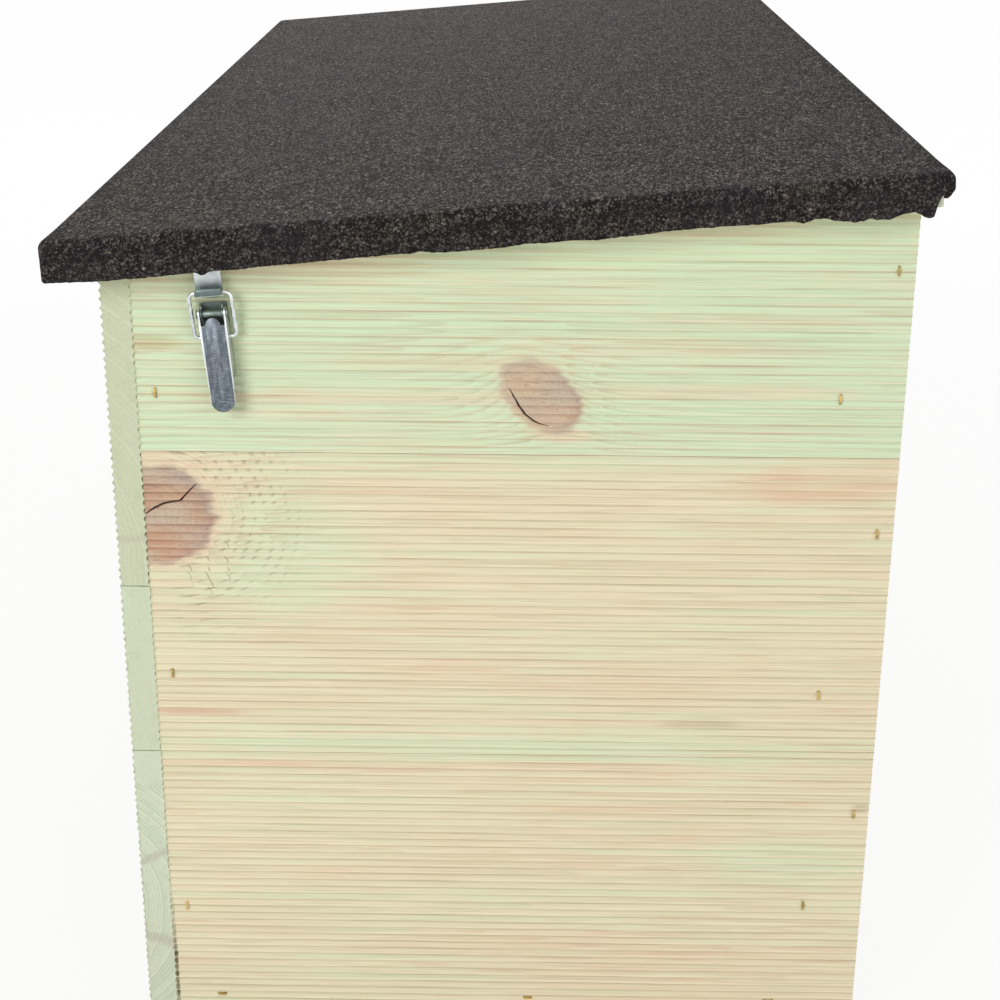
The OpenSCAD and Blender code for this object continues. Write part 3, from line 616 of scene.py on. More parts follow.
def softwood(name, face, tint=GREEN, other=PALE, share=0.4, pith=(60, 90), ring=2.6, shift=0.0, sway=9,
             knots=(), spots=(), bands=(), frays=(), ribbed=True, late=0.5, rust=0.5,
             sawn_tint=END_GREEN, clear_from=1000):
    """A softwood finish, with its places in millimetres.

    A knot is (along, up, half length, half height, tilt, colour, halo, waves), a spot is (along, up, half
    length, half height, colour, strength), a fray is (along, up, half length, half height), and a band
    across the sawn end is (up, half height, lean, strength). Above clear_from the sawn end has no rings.
    """
    material, graph = new_finish(name)
    wood = Solid(graph, face)
    ovals = [wood.oval(knot[:2], knot[2:4], knot[4], KNOT_LEAN) for knot in knots]
    lines = growth(wood, pith, ring, shift, sway, ovals)

    bloom = wood.cloud((230, 60, 34), 2.0, shift + 5)
    colour = blend((bloom - 0.5 + share).rise(0.3, 0.7), tint, other)
    # Each spot paints a stain or a band of tone; a SHADOW spot is painted shadow.
    for along, up, half_along, half_up, stain_and_shadow, strength in spots:
        rough = (wood.cloud((40, 30, 9), 2.0, along) - 0.5) * 0.9
        edge = wood.oval((along, up), (half_along, half_up)) + rough
        colour = blend((1 - edge.rise(0.35, 1.1)) * strength, colour, stain_and_shadow)
    fibre = wood.cloud((46, 0.9, 0.7), 3.0, shift)
    colour = blend(lines * late, colour, blend(bloom.rise(0.35, 0.65), MOSS, RUST))
    colour = streaked(wood, colour, (120, 2.0, 1.1), shift + 9, (0.58, 0.74), rust * 0.6, RUST)
    colour = blend(fibre.rise(0.48, 0.8) * 0.2, colour, BARK)
    colour = streaked(wood, colour, (60, 2, 1.5), shift + 3, (0.55, 0.8), 0.35, CREAM)
    colour = streaked(wood, colour, (150, 3, 0.5), shift + 6, (0.55, 0.72), 0.28, HAIR)
    colour = streaked(wood, colour, (34, 3, 2.4), shift + 11, (0.62, 0.74), rust * 0.5, RESIN)
    if ribbed:
        # Painted shade under each crest, partly the flute's own darker tone, and a painted highlight in cream
        # on the lip just above each crest.
        shade = wood.rib_place.rise(0.6, 0.93)
        lip_highlight = 1 - wood.rib_place.rise(0.02, 0.2)
        lip_highlight = lip_highlight * (0.25 + wood.by_rib(70, shift + 8).rise(0.35, 0.65) * 0.5)
        colour = fluted(wood, colour, 170, shift + 12, (0.48, 0.68), 0.4, FLUTE_GREEN)
        colour = fluted(wood, colour, 140, shift + 16, (0.55, 0.72), 0.25, PEACH)
        colour = fluted(wood, colour, 130, shift, (0.42, 0.68), shade * 0.5, FLUTE_BROWN)
        colour = fluted(wood, colour, 90, shift + 4, (0.45, 0.7), shade * 0.35, BARK)
        colour = blend(lip_highlight, colour, CREAM)
    relief = fibre * 0.06 + lines * 0.05
    for place in frays:
        colour = frayed(wood, colour, place)
    for knot, oval in zip(knots, ovals):
        colour, relief = knot_finish(wood, knot, oval, colour, relief)
    from_middle = wood.along.math("ABSOLUTE")
    # Painted shade on the walls and floor of the staple dents, at their depth below the face.
    if "dents_to" in face:
        dent_shade = wood.into.hump(DENT_SHADE_FROM - 0.1, DENT_SHADE_FROM + 0.1, DENT_SHADE_TO - 0.1, DENT_SHADE_TO + 0.1)
        dent_shade = dent_shade * (1 - from_middle.rise(face["dents_to"] - 2, face["dents_to"] - 1.5))
        colour = blend(dent_shade * 0.85, colour, DENT_SHADE)
    if "half_length" in face:
        end = from_middle.rise(face["half_length"] - 0.5, face["half_length"] - 0.2)
        sawn = end_grain(wood, lines, late, shift, sawn_tint, bands, clear_from)
        colour = blend(end, colour, sawn)
    graph.close(relief, MM, 1.0, {
        "Base Color": colour,
        "Roughness": 0.7 - lines * 0.12,
        "Specular IOR Level": 0.25,
    })
    return material


print("softwood ready")

# %% [markdown]
# Each board gets its own place in the log. The three boards of the seen panel carry the knots and the
# green and beige bands where the real ones have them: the places are millimetres across the panel from
# the middle of the house, and up from the ground.

# %% The finishes of the wall boards
KNOT_LEFT = (-194.5, 350, 35, 33, 0, paint(198, 163, 134), 0.6, 1.0)
KNOT_MIDDLE = (29, 425, 28, 18, -40, paint(208, 186, 157), 0.2, 0.2)
KNOT_HIGH = (-190, 300, 19, 15, 12, paint(198, 172, 148), 0.5, 0.5)
KNOT_REAR = (90, 262, 17, 14, -10, paint(196, 170, 146), 0.5, 0.5)
ROSE = paint(225, 192, 162)
LIME = paint(212, 227, 192)
SALLOW = paint(194, 194, 152)
SMUDGE = paint(150, 148, 122)
SHADOW = paint(70, 74, 52)


def face_of(axes, turned, origin, half_length=None, dents_to=None):
    """Which way a piece lies: its axes along, into and up, their senses, and their start."""
    face = {"axes": axes, "turned": turned, "origin": origin}
    if half_length:
        face["half_length"] = half_length / MM
    if dents_to:
        face["dents_to"] = dents_to / MM
    return face


panel_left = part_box("front_panel_bottom_board")[0].x / MM
panel_face = face_of((0, 1, 2), (1, 1, 1), (0, front_y, 0), dents_to=high_face_x)
rear_face = face_of((0, 1, 2), (1, -1, 1), (0, rear_y, 0))
low_face = face_of((1, 0, 2), (1, 1, 1), (0, low_face_x, 0), body_l / 2)
high_face = face_of((1, 0, 2), (1, -1, 1), (0, high_face_x, 0), wall_l / 2)
partition_face = face_of((0, 1, 2), (1, 1, 1), (0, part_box("partition_lower_board")[0].y, 0))

finishes = {
    "front_panel_top_board": softwood(
        "front_top_wood", panel_face, share=0.34, pith=(64, 462), ring=2.6, shift=1.0, knots=(KNOT_MIDDLE,),
        late=0.4, rust=0.35,
        spots=((-60, 424, 150, 6, PEACH, 0.6), (120, 429, 110, 6, PEACH, 0.6),
               (-193, 455, 22, 6, SALLOW, 0.8), (70, 520, 170, 5, PEACH, 0.3),
               (-150, 500, 60, 8, PEACH, 0.3), (42, 402, 24, 6, PEACH, 0.8),
               (-40, 444, 70, 5, ROSE, 0.35), (150, 470, 90, 5, PEACH, 0.4))),
    "front_panel_middle_board": softwood(
        "front_middle_wood", panel_face, tint=PALE, other=PEACH, share=0.38, pith=(90, 296), ring=2.4,
        shift=2.0, knots=(KNOT_LEFT,), frays=((-167, 322, 19, 25),), late=0.33, rust=0.45,
        spots=((-120, 330, 56, 62, LIME, 0.7), (0, 386, 260, 6, LIME, 0.5), (0, 201, 300, 8, LIME, 0.8),
               (190, 372, 70, 14, ROSE, 0.8), (-60, 222, 190, 10, PEACH, 0.3),
               (-175, 290, 40, 26, LIME, 0.4), (-185, 222, 40, 3, RUST, 0.5),
               (60, 240, 220, 6, PEACH, 0.4), (130, 218, 30, 6, SMUDGE, 0.3))),
    "front_panel_bottom_board": softwood(
        "front_bottom_wood", panel_face, tint=PALE, other=PEACH, share=0.34, pith=(80, 60), ring=2.3,
        shift=3.0, late=0.36, rust=0.55,
        spots=((0, 194, 300, 6, LIME, 0.6), (229, 160, 9, 4, BARK, 0.5), (120, 158, 120, 5, ROSE, 0.4),
               (-100, 186, 160, 4, ROSE, 0.4), (190, 120, 60, 30, LIME, 0.4),
               # Painted shadow along the seam where the panel's end meets the low wall.
               (panel_left + 0.3, 26, 1.5, 66, SHADOW, 0.95))),
    # Its sawn end is tinted darker and yellower: painted shadow of the roof.
    "low_wall_top_board": softwood(
        "low_top_wood", low_face, pith=(-95, 318), ring=3.0, shift=4.0, share=0.3, late=0.25,
        sawn_tint=paint(196, 204, 172), bands=((335, 4, 0.1, 0.35),)),
    "low_wall_middle_board": softwood(
        "low_middle_wood", low_face, pith=(-160, 180), ring=4.0, shift=5.0, late=0.08,
        sawn_tint=paint(202, 214, 186)),
    "low_wall_bottom_board": softwood(
        "low_bottom_wood", low_face, pith=(-55, 84), ring=2.1, shift=6.0, share=0.35, sway=4, late=0.7,
        sawn_tint=paint(207, 219, 194), clear_from=176, bands=((120, 5, 0.48, 0.5), (59, 6, -0.3, 0.5))),
    "high_wall_top_board": softwood("high_top_wood", high_face, pith=(90, 470), shift=7.0, share=0.35),
    "high_wall_middle_board": softwood(
        "high_middle_wood", high_face, pith=(70, 280), shift=8.0, share=0.5, knots=(KNOT_HIGH,)),
    "high_wall_bottom_board": softwood("high_bottom_wood", high_face, pith=(110, 120), shift=9.0, share=0.45),
    "rear_panel_top_board": softwood("rear_top_wood", rear_face, pith=(75, 440), shift=10.0, share=0.35),
    "rear_panel_middle_board": softwood(
        "rear_middle_wood", rear_face, tint=PALE, other=GREEN, pith=(60, 320), shift=11.0,
        knots=(KNOT_REAR,)),
    "rear_panel_bottom_board": softwood(
        "rear_bottom_wood", rear_face, tint=PALE, other=PEACH, pith=(85, 130), shift=12.0, rust=0.6),
    "partition_lower_board": softwood(
        "partition_lower_wood", partition_face, tint=PALE, other=PEACH, pith=(60, 150), shift=13.0),
    "partition_upper_board": softwood(
        "partition_upper_wood", partition_face, tint=PALE, other=PEACH, pith=(90, 330), shift=14.0),
}
print(len(finishes), "board finishes")

# %% [markdown]
# A wall board starts as the swept profile and is then worked as on the bench: the top boards are sawn
# to the roof's slope, the entrance and the doorway are cut, the hinges get their rebates, every staple
# leaves a small dent, and the two knots are cracked. All of it is one set of cutters for each board.


# %% Cutting tools for the boards
def cutter_box(tools, low, high, place=Matrix.Identity(4)):
    """Adds a box to the cutters in tools."""
    low, high = Vector(low), Vector(high)
    made = bmesh.ops.create_cube(tools, size=1.0)["verts"]
    middle = Matrix.Translation((low + high) / 2) @ Matrix.Diagonal((*(high - low), 1))
    bmesh.ops.transform(tools, matrix=place @ middle, verts=made)


def cutter_crack(tools, route, width, depth, y):
    """Adds a thin wedge along a route of (x, z) points that opens in a panel's face at y."""
    rings = []
    for step, (x, z) in enumerate(route):
        before, after = route[max(step - 1, 0)], route[min(step + 1, len(route) - 1)]
        side = Vector((-(after[1] - before[1]), after[0] - before[0])).normalized()
        half = width / 2 * (0.15 + math.sin(math.pi * (step + 0.5) / len(route)))
        across = Vector((side.x, 0, side.y)) * half
        mouth, root = Vector((x, y - MM, z)), Vector((x, y + depth, z))
        rings.append([tools.verts.new(p) for p in (mouth + across, mouth - across, root)])
    for first, second in zip(rings, rings[1:]):
        for i in range(3):
            tools.faces.new((first[i], first[(i + 1) % 3], second[(i + 1) % 3], second[i]))
    tools.faces.new(rings[0][::-1])
    tools.faces.new(rings[-1])


def cutter_chip(tools, place, chip):
    """Adds a slanting block that breaks a chip of that size off an edge."""
    turned = Matrix.Rotation(math.radians(35), 4, "Y") @ Matrix.Rotation(math.radians(34), 4, "Z")
    half = Vector((0.8, 2.0, 0.6)) * chip
    cutter_box(tools, -half, half, Matrix.Translation(place) @ turned)


def islands(name):
    """The separate solids of a node, each as an array of its points."""
    copy = bmesh.new()
    copy.from_mesh(nodes[name].data)
    bmesh.ops.remove_doubles(copy, verts=copy.verts, dist=1e-5)
    left, found = set(copy.verts), []
    while left:
        stack, group = [left.pop()], []
        while stack:
            vert = stack.pop()
            group.append(vert.co[:])
            near = {edge.other_vert(vert) for edge in vert.link_edges} & left
            left -= near
            stack += near
        found.append(np.array(group))
    copy.free()
    return sorted(found, key=lambda points: tuple(points.mean(0).round(4)))


def staple_places():
    """Middle of the crown, outward direction and crown direction of each staple."""
    places = []
    for points in islands("wall_staples"):
        low, high = points.min(0), points.max(0)
        order = np.argsort(high - low)
        leg, crown = order[2], order[1]
        at_low = (points[:, leg] < low[leg] + MM / 10).sum()
        at_high = (points[:, leg] > high[leg] - MM / 10).sum()
        outward = np.zeros(3)
        outward[leg] = -1 if at_low < at_high else 1
        middle = (low + high) / 2
        middle[leg] = low[leg] if outward[leg] < 0 else high[leg]
        places.append((Vector(middle), Vector(outward), Vector(np.eye(3)[crown])))
    return places


staples = staple_places()
print(len(staples), "staples")

# %% [markdown]
# The cutters meet a board in one Boolean modifier, whose result is kept as a plain mesh. The board then
# stands for its node and rides on the house. Each board keeps a hair's breadth from the next one, so
# that the joint shows as a fine line, and the end panels are tucked into the flutes of the low wall.

# %% Make the wall boards
BEYOND = 10 * MM
CRACKS = {
    "front_panel_middle_board": (2.1 * MM, (
        (-204.5, 349.6), (-201.4, 351.4), (-197, 354.6), (-191.7, 357.2), (-186, 358.6), (-181.6, 359.4),
        (-176.5, 365), (-171.7, 370.1))),
    "front_panel_top_board": (1.7 * MM, (
        (9.4, 430), (12.2, 425), (15.4, 419), (19, 414.2), (23, 411), (27.5, 408.6), (32.4, 407.4))),
}
CRACK_DEPTH = 5 * MM
CHIPS = {"low_wall_bottom_board": (137 * MM, 3.2 * MM), "low_wall_middle_board": (213 * MM, 2.6 * MM)}
REBATE_DEPTH, REBATE_REACH = 1.8 * MM, 40 * MM
DENT_HALF_WIDTH, DENT_HALF_LENGTH, DENT_DEPTH = 1.35 * MM, 3.75 * MM, 1.5 * MM


def hole_of(name, axis):
    """The box of the corners that lie inside a board's outline: its cut opening."""
    points = np.array([v.co for v in nodes[name].data.vertices])
    low, high = points[:, axis].min(), points[:, axis].max()
    inner = points[(points[:, axis] > low + MM) & (points[:, axis] < high - MM)]
    return inner.min(0), inner.max(0)


def cutters_for(name, low, high):
    """All cutters of one board whose box runs from low to high."""
    tools = bmesh.new()
    if name.endswith("top_board"):
        cutter_box(tools, (-0.8, -0.7, -seat_gap), (0.3, 0.7, 0.3), on_roof)
    if name == "high_wall_top_board":
        for hinge in ("front_hinge_roof_leaf", "rear_hinge_roof_leaf"):
            leaf_low, leaf_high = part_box(hinge)
            rebate_low = (-REBATE_REACH, leaf_low.y - seat_gap, -REBATE_DEPTH)
            rebate_high = (2 * BEYOND, leaf_high.y + seat_gap, -0.1 * MM)
            cutter_box(tools, rebate_low, rebate_high, on_roof)
    if name == "low_wall_bottom_board":
        hole_low, hole_high = hole_of(name, 1)
        cutter_box(tools, (low.x - BEYOND, *hole_low[1:]), (high.x + BEYOND, *hole_high[1:]))
    if name == "partition_lower_board":
        hole_low, hole_high = hole_of(name, 0)
        door_low = (hole_low[0], low.y - BEYOND, low.z - BEYOND)
        cutter_box(tools, door_low, (hole_high[0], high.y + BEYOND, hole_high[2]))
    if name in CHIPS:
        height, chip = CHIPS[name]
        cutter_chip(tools, (low.x, low.y, height), chip)
    if name in CRACKS:
        width, route = CRACKS[name]
        cutter_crack(tools, [(x * MM, z * MM) for x, z in route], width, CRACK_DEPTH, low.y)
    for middle, outward, crown in staples:
        inside = all(low[i] - 2 * MM < middle[i] < high[i] + 2 * MM for i in range(3))
        if inside and outward.dot(middle - (low + high) / 2) > 0:
            half = Vector([DENT_HALF_LENGTH if abs(along) > 0.5 else DENT_HALF_WIDTH for along in crown])
            for axis in range(3):
                if outward[axis]:
                    half[axis] = DENT_DEPTH
            cutter_box(tools, middle - half, middle + half)
    return tools


def cut(mesh, tools):
    """The mesh less its cutters, as a new plain mesh."""
    if not tools.faces:
        return mesh
    bmesh.ops.recalc_face_normals(tools, faces=tools.faces)
    tool_mesh = bpy.data.meshes.new("cutters")
    tools.to_mesh(tool_mesh)
    worked, cutter = put(mesh.name, mesh), put("cutters", tool_mesh)
    boolean = worked.modifiers.new("cut", "BOOLEAN")
    boolean.object = cutter
    boolean.operation = "DIFFERENCE"
    boolean.solver = "MANIFOLD"
    result = take_mesh(worked)
    bpy.data.objects.remove(cutter)
    return result


def settle(name, mesh, body, node, smooth_below=40):
    """Turns a finished mesh into a piece that rides on a body and stands for its node."""
    mesh.polygons.foreach_set("use_smooth", [True] * len(mesh.polygons))
    mesh.set_sharp_from_angle(angle=math.radians(smooth_below))
    mesh.name = name
    piece = put(name, mesh)
    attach(piece, body)
    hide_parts(node)
    return piece


SEAM = {"front": 0.15 * MM, "rear": 0.2 * MM, "low": 0.3 * MM, "high": 0.25 * MM, "partition": 0.2 * MM}
WALL_FLUTE = {"top": 1.5 * MM, "middle": 1.15 * MM, "bottom": 1.0 * MM}
PANEL_FLUTE = 1.15 * MM
WALL_STEP, PANEL_STEP = 19 * MM, 13 * MM


def dress_board(name, turn, seed):
    """Grows the board of one node in its place. A panel's end is tucked into the low wall's flutes."""
    low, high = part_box(name)
    wall = "wall" in name
    flute = WALL_FLUTE.get(name.split("_")[2], PANEL_FLUTE)
    if "panel" in name:
        low.x -= flute - 0.1 * MM
    long_axis = 1 if wall else 0
    length, seam = high[long_axis] - low[long_axis], SEAM[name.split("_")[0]]
    ribs = round((high.z - low.z) / (RIB * MM) + 0.3)
    mesh = grow(name, board, board_ids, {
        "Board Length": length,
        "Board Thickness": board_t,
        "Ribs": ribs,
        "Seed": seed,
        "Groove Depth": flute if wall else PANEL_FLUTE,
        "Spans": round(length / (WALL_STEP if wall else PANEL_STEP)),
        "Finish": finishes[name],
    })
    outer = {0: (None, low.y), 180: (None, high.y), -90: (low.x, None), 90: (high.x, None)}[turn]
    x, y = (centre if edge is None else edge for centre, edge in zip((low + high) / 2, outer))
    shrunk = 1 - 2 * seam / (ribs * RIB * MM)
    place = Matrix.Translation((x, y, low.z + seam)) @ Matrix.Rotation(math.radians(turn), 4, "Z")
    mesh.transform(place @ Matrix.Diagonal((1, 1, shrunk, 1)))
    mesh = cut(mesh, cutters_for(name, low, high))
    if not mesh.materials:
        mesh.materials.append(finishes[name])
    return settle(name.replace("_board", "_ribbed_board"), mesh, "house", name)


turns = {"front_panel": 0, "partition": 0, "rear_panel": 180, "low_wall": -90, "high_wall": 90}
for seed, name in enumerate(finishes):
    turn = next(angle for start, angle in turns.items() if name.startswith(start))
    piece = dress_board(name, turn, seed)
    print(piece.name, len(piece.data.polygons), "faces")

# %% [markdown]
# The boards are stapled to the posts with an air gun. Each staple is a flat brassy wire bent twice, and
# its crown lies in its dent. A tree bends one staple out of a line of four points, rounds its corners,
# and sets a copy on every point of a start mesh, whose attributes say which way each one looks.

# %% Staples from one bent wire
staple, wire, staple_ids = growing_tree("bent_staples", {
    "Crown": ("Float", 0.006),
    "Leg": ("Float", 0.012),
    "Wire Width": ("Float", 0.0012),
    "Wire Thickness": ("Float", 0.0009),
    "Finish": ("Material", None),
})
wire_width, wire_thickness = wire.also("Wire Width"), wire.also("Wire Thickness")
corners = dotted_line(staple, (1, 0, 0), 4)
index = staple.add("GeometryNodeInputIndex")
across = (index.math("GREATER_THAN", 1.5) - 0.5) * (wire.also("Crown") - wire_width)
driven = (index - 1.5).math("ABSOLUTE").math("GREATER_THAN", 1.0) * wire.also("Leg")
bent = staple.add("GeometryNodeSetPosition", sockets={
    "Geometry": corners, "Position": staple.vector(across, 0.0, driven * -1 - wire_thickness / 2)})
rounded = staple.add("GeometryNodeFilletCurve", {"mode": "POLY"}, {
    "Curve": bent, "Radius": wire_thickness * 0.9, "Count": 2})
section = staple.add("GeometryNodeCurvePrimitiveQuadrilateral", sockets={
    "Width": wire_width, "Height": wire_thickness})
one = staple.add("GeometryNodeCurveToMesh", sockets={
    "Curve": rounded, "Profile Curve": section, "Fill Caps": True})
outward = recall(staple, "outward", "FLOAT_VECTOR")
facing = staple.add("FunctionNodeAlignRotationToVector", {"axis": "Z"}, {"Vector": outward})
facing = staple.add("FunctionNodeAlignRotationToVector", {"axis": "X", "pivot_axis": "Z"}, {
    "Rotation": facing, "Vector": recall(staple, "crown", "FLOAT_VECTOR")})
placed = staple.add("GeometryNodeInstanceOnPoints", sockets={
    "Points": wire.also("Start"), "Instance": one, "Rotation": facing})
end_tree(staple, placed, wire.also("Finish"))
print("staple tree of", len(staple.tree.nodes), "nodes")

# %% [markdown]
# The posts, bearers, floor, battens and roof boards are plain sawn timber. Their solids have the right
# shape already, so each is copied, its loose triangles are merged, its edges are eased by a bevel, and
# it is painted with the same softwood finish, told which way the timber runs.


# %% Plain timber inside and under the roof
def clean_copy(name):
    """A node's mesh with its loose triangles merged into flat faces."""
    shape = bmesh.new()
    shape.from_mesh(nodes[name].data)
    bmesh.ops.remove_doubles(shape, verts=shape.verts, dist=0.002 * MM)
    bmesh.ops.dissolve_limit(shape, angle_limit=math.radians(0.5), verts=shape.verts, edges=shape.edges)
    mesh = bpy.data.meshes.new(name)
    shape.to_mesh(mesh)
    shape.free()
    return mesh


def eased(mesh, width):
    """The mesh with its sharp edges rounded by width."""
    carrier = put(mesh.name, mesh)
    bevel = carrier.modifiers.new("ease", "BEVEL")
    bevel.width = width
    bevel.segments = 2
    bevel.limit_method = "ANGLE"
    bevel.angle_limit = math.radians(30)
    return take_mesh(carrier)


def dress(name, finish, body, width=0.8 * MM, smooth_below=40):
    """Replaces a node by an eased copy of itself with its finish."""
    mesh = eased(clean_copy(name), width)
    mesh.materials.clear()
    mesh.materials.append(finish)
    return settle(name + "_dressed", mesh, body, name, smooth_below)


SAWN = paint(226, 210, 176)
SAWN_DARK = paint(216, 192, 152)
grain_axes = {"X": (0, 1, 2), "Y": (1, 0, 2), "Z": (2, 0, 1)}
timbers = {
    "corner_post": ("Z", "house"),
    "floor_bearer": ("X", "house"),
    "floor_board": ("Y", "house"),
    "partition_cleat": ("Z", "house"),
    "roof_board": ("Y", "roof"),
    "roof_batten": ("X", "roof"),
}
for kind, (start, (run, body)) in enumerate(timbers.items()):
    group = [name for name in nodes if name.startswith(start)]
    axes = grain_axes[run]
    for place, name in enumerate(group):
        low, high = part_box(name)
        middle = (low + high) / 2
        face = face_of(axes, (1, 1, 1), [middle[axis] for axis in axes], (high[axes[0]] - low[axes[0]]) / 2)
        timber = softwood(
            name + "_wood", face, tint=SAWN, other=SAWN_DARK, pith=(40 + 9 * place, -30 + 17 * place),
            ring=3.4, shift=20.0 + 3 * kind + place, ribbed=False, late=0.4, rust=0.35)
        dress(name, timber, body)
    print(start, len(group), "pieces along", run)

# %% [markdown]
# The roof covering is one sheet of bitumen felt with mineral grit, wrapped over the edges of the deck.
# It is modelled ring by ring as a tin lid would be: the hem under the edge, the skirt, the fold, and
# then rings that close towards the ridge line. The hem's line is drawn by a few measured points, with
# tears and ragged noise, and the skirt bulges a little, as stiff felt does.

# %% The felt's shape
front_points, side_points = 320, 450
corner_r, end_fold_r, side_fold_r = 5.0 * MM, 6.0 * MM, 2.0 * MM
felt_t = deck_low.x - felt_low.x
felt_middle = (felt_low + felt_high) / 2
felt_half = (felt_high - felt_low) / 2
felt_top = felt_high.z
hem_front = ((-479, -3.3), (-447, -4.5), (-366, -3.3), (-294, -1.8), (-260, -3.0), (-229, -2.7),
             (-212, -1.7), (-180, -3.0), (-156, -1.6), (-131, -0.6), (-92, -0.8), (-66, -0.6),
             (-50, -2.4), (-34, -4.0), (-18, -2.8), (-8, -1.8), (-3, -3.6), (-0.5, -3.4), (1.5, 5.0),
             (6.0, 10.0), (11, 14.0))
tears = ((-273.5, 4.5, 1.0), (-191, 8, 0.9), (-57, 7, 1.2), (-32, 3.5, 1.2), (-12, 8, 1.0))
tongues = ((-394, 3.6, 1.6), (-68, 5, 1.8), (-40, 2.5, 0.8), (-22, 2, 0.9), (-1.6, 1.6, 2.0))
skirt_shares = (0.0, 0.06, 0.2, 0.38, 0.56, 0.74, 0.88)
fold_steps = 6
top_insets = (8, 11, 15, 20, 28, 38, 54, 74, 98, 126, 158, 192, 226, 242)
skirt_h = 19
front_reach = 24 * MM


def edge_points(half_x, half_y, radius):
    """Points round a rectangle with rounded corners: front, high side, rear and low side."""
    across = np.linspace(-1, 1, front_points, endpoint=False)
    back = np.linspace(-1, 1, side_points, endpoint=False)
    front = np.stack([across * half_x, np.full(front_points, -half_y)], 1)
    high_side = np.stack([np.full(side_points, half_x), back * half_y], 1)
    points = np.concatenate([front, high_side, -front, -high_side])
    radius = min(radius, half_x, half_y)
    core = np.clip(points, (-half_x + radius, -half_y + radius), (half_x - radius, half_y - radius))
    away = points - core
    return core + away / np.linalg.norm(away, axis=1, keepdims=True) * radius


def ragged(x, y, z, size):
    """Noise from about -1 to 1 whose lumps are as long as size, for distances in metres."""
    return noise.noise(Vector((x / size, y / size, z / size + 7.3)))


def hem_height(x, y):
    """Height of the felt's lower edge above the underside of the deck, at a point of its outline.

    The measured line holds at the front and fades, round the corners, into a steady one.
    """
    across = (x + felt_middle.x) / MM
    front_share = max(0.0, 1 - (y + felt_half.y) / front_reach)
    height = np.interp(across, *zip(*hem_front))
    for place, half, size in tears:
        height += size * max(0.0, 1 - abs(across - place) / half) ** 0.6
    for place, half, size in tongues:
        height -= size * max(0.0, 1 - abs(across - place) / half)
    if front_share < 1:
        low_share = (felt_half.x - x) / (2 * felt_half.x)
        other = 0.5 - 2.3 * low_share
        height = other + (height - other) * front_share ** 2
    rough = ragged(x, y, 0, 9 * MM) * 0.45 + ragged(x, y, 1, 2.6 * MM) * 0.55
    return (height + rough) * MM


def felt_rings():
    """The rings of the felt from the hem's inner edge up, over the fold and in to the middle.

    A ring is its points, their heights, and how many millimetres it lies down from the fold.
    """
    outer = edge_points(felt_half.x, felt_half.y, corner_r)
    inner = edge_points(felt_half.x - felt_t, felt_half.y - felt_t, 1.5 * MM)
    hem = np.array([hem_height(x, y) for x, y in outer])
    rings = [(inner, np.full(len(outer), deck_high.z + 0.05 * MM), 30.0)]
    rings.append((inner, hem + 0.4 * MM, 30.0))
    rings.append((edge_points(felt_half.x - 1.4 * MM, felt_half.y - 1.4 * MM, 3 * MM), hem - 0.1 * MM, 28.0))
    at_end = np.clip((np.abs(outer[:, 1]) - felt_half.y + 14 * MM) / (14 * MM), 0, 1)
    fold = side_fold_r + (end_fold_r - side_fold_r) * at_end ** 2
    start = felt_top - fold
    for share in skirt_shares:
        outset = -0.35 * MM if share == 0 else 0.0
        ring = edge_points(felt_half.x + outset, felt_half.y + outset, corner_r)
        height = hem + (start - hem) * share
        swell = [ragged(x, y, z, 60 * MM) * 0.5 + ragged(x, y, z, 6 * MM) * 0.22
                 for (x, y), z in zip(ring, height)]
        away = ring / np.array([felt_half.x, felt_half.y])
        away = away * (np.abs(away) > 0.985)
        ring = ring + away * np.array(swell)[:, None] * MM
        rings.append((ring, height, (1 - share) * skirt_h))
    for step in range(fold_steps + 1):
        angle = math.pi / 2 * step / fold_steps
        inset = 1 - math.cos(angle)
        ring = edge_points(felt_half.x - side_fold_r * inset, felt_half.y - end_fold_r * inset, corner_r)
        rings.append((ring, start + fold * math.sin(angle), 0.0))
    for inset in top_insets:
        ring = edge_points(felt_half.x - inset * MM, felt_half.y - inset * MM, corner_r)
        wave = [ragged(x, y, 0, 75 * MM) * 0.45 + ragged(x, y, 3, 15 * MM) * 0.12 for x, y in ring]
        rings.append((ring, felt_top + np.array(wave) * MM * min(1, inset / 20), -float(inset)))
    return rings


def sprung(points):
    """How far the stiff felt stands off: flared long hems and bulky folds at the two front corners."""
    across = (points[:, 0] - felt_middle.x) / felt_half.x
    low_side, high_side = np.clip(-across * 10 - 9, 0, 1), np.clip(across * 10 - 9, 0, 1)
    from_front = points[:, 1] + felt_half.y
    corner = np.clip(1 - from_front / (45 * MM), 0, 1) ** 2
    below = np.clip((felt_top - points[:, 2]) / felt_top, 0, 1)
    outwards = high_side * (1.5 + 2.6 * corner) - low_side * (1.4 + 1.4 * corner + 1.2 * below)
    sunk = high_side * corner * (below < 0.3) * -1.2
    return np.column_stack([outwards, np.zeros(len(points)), sunk]) * MM


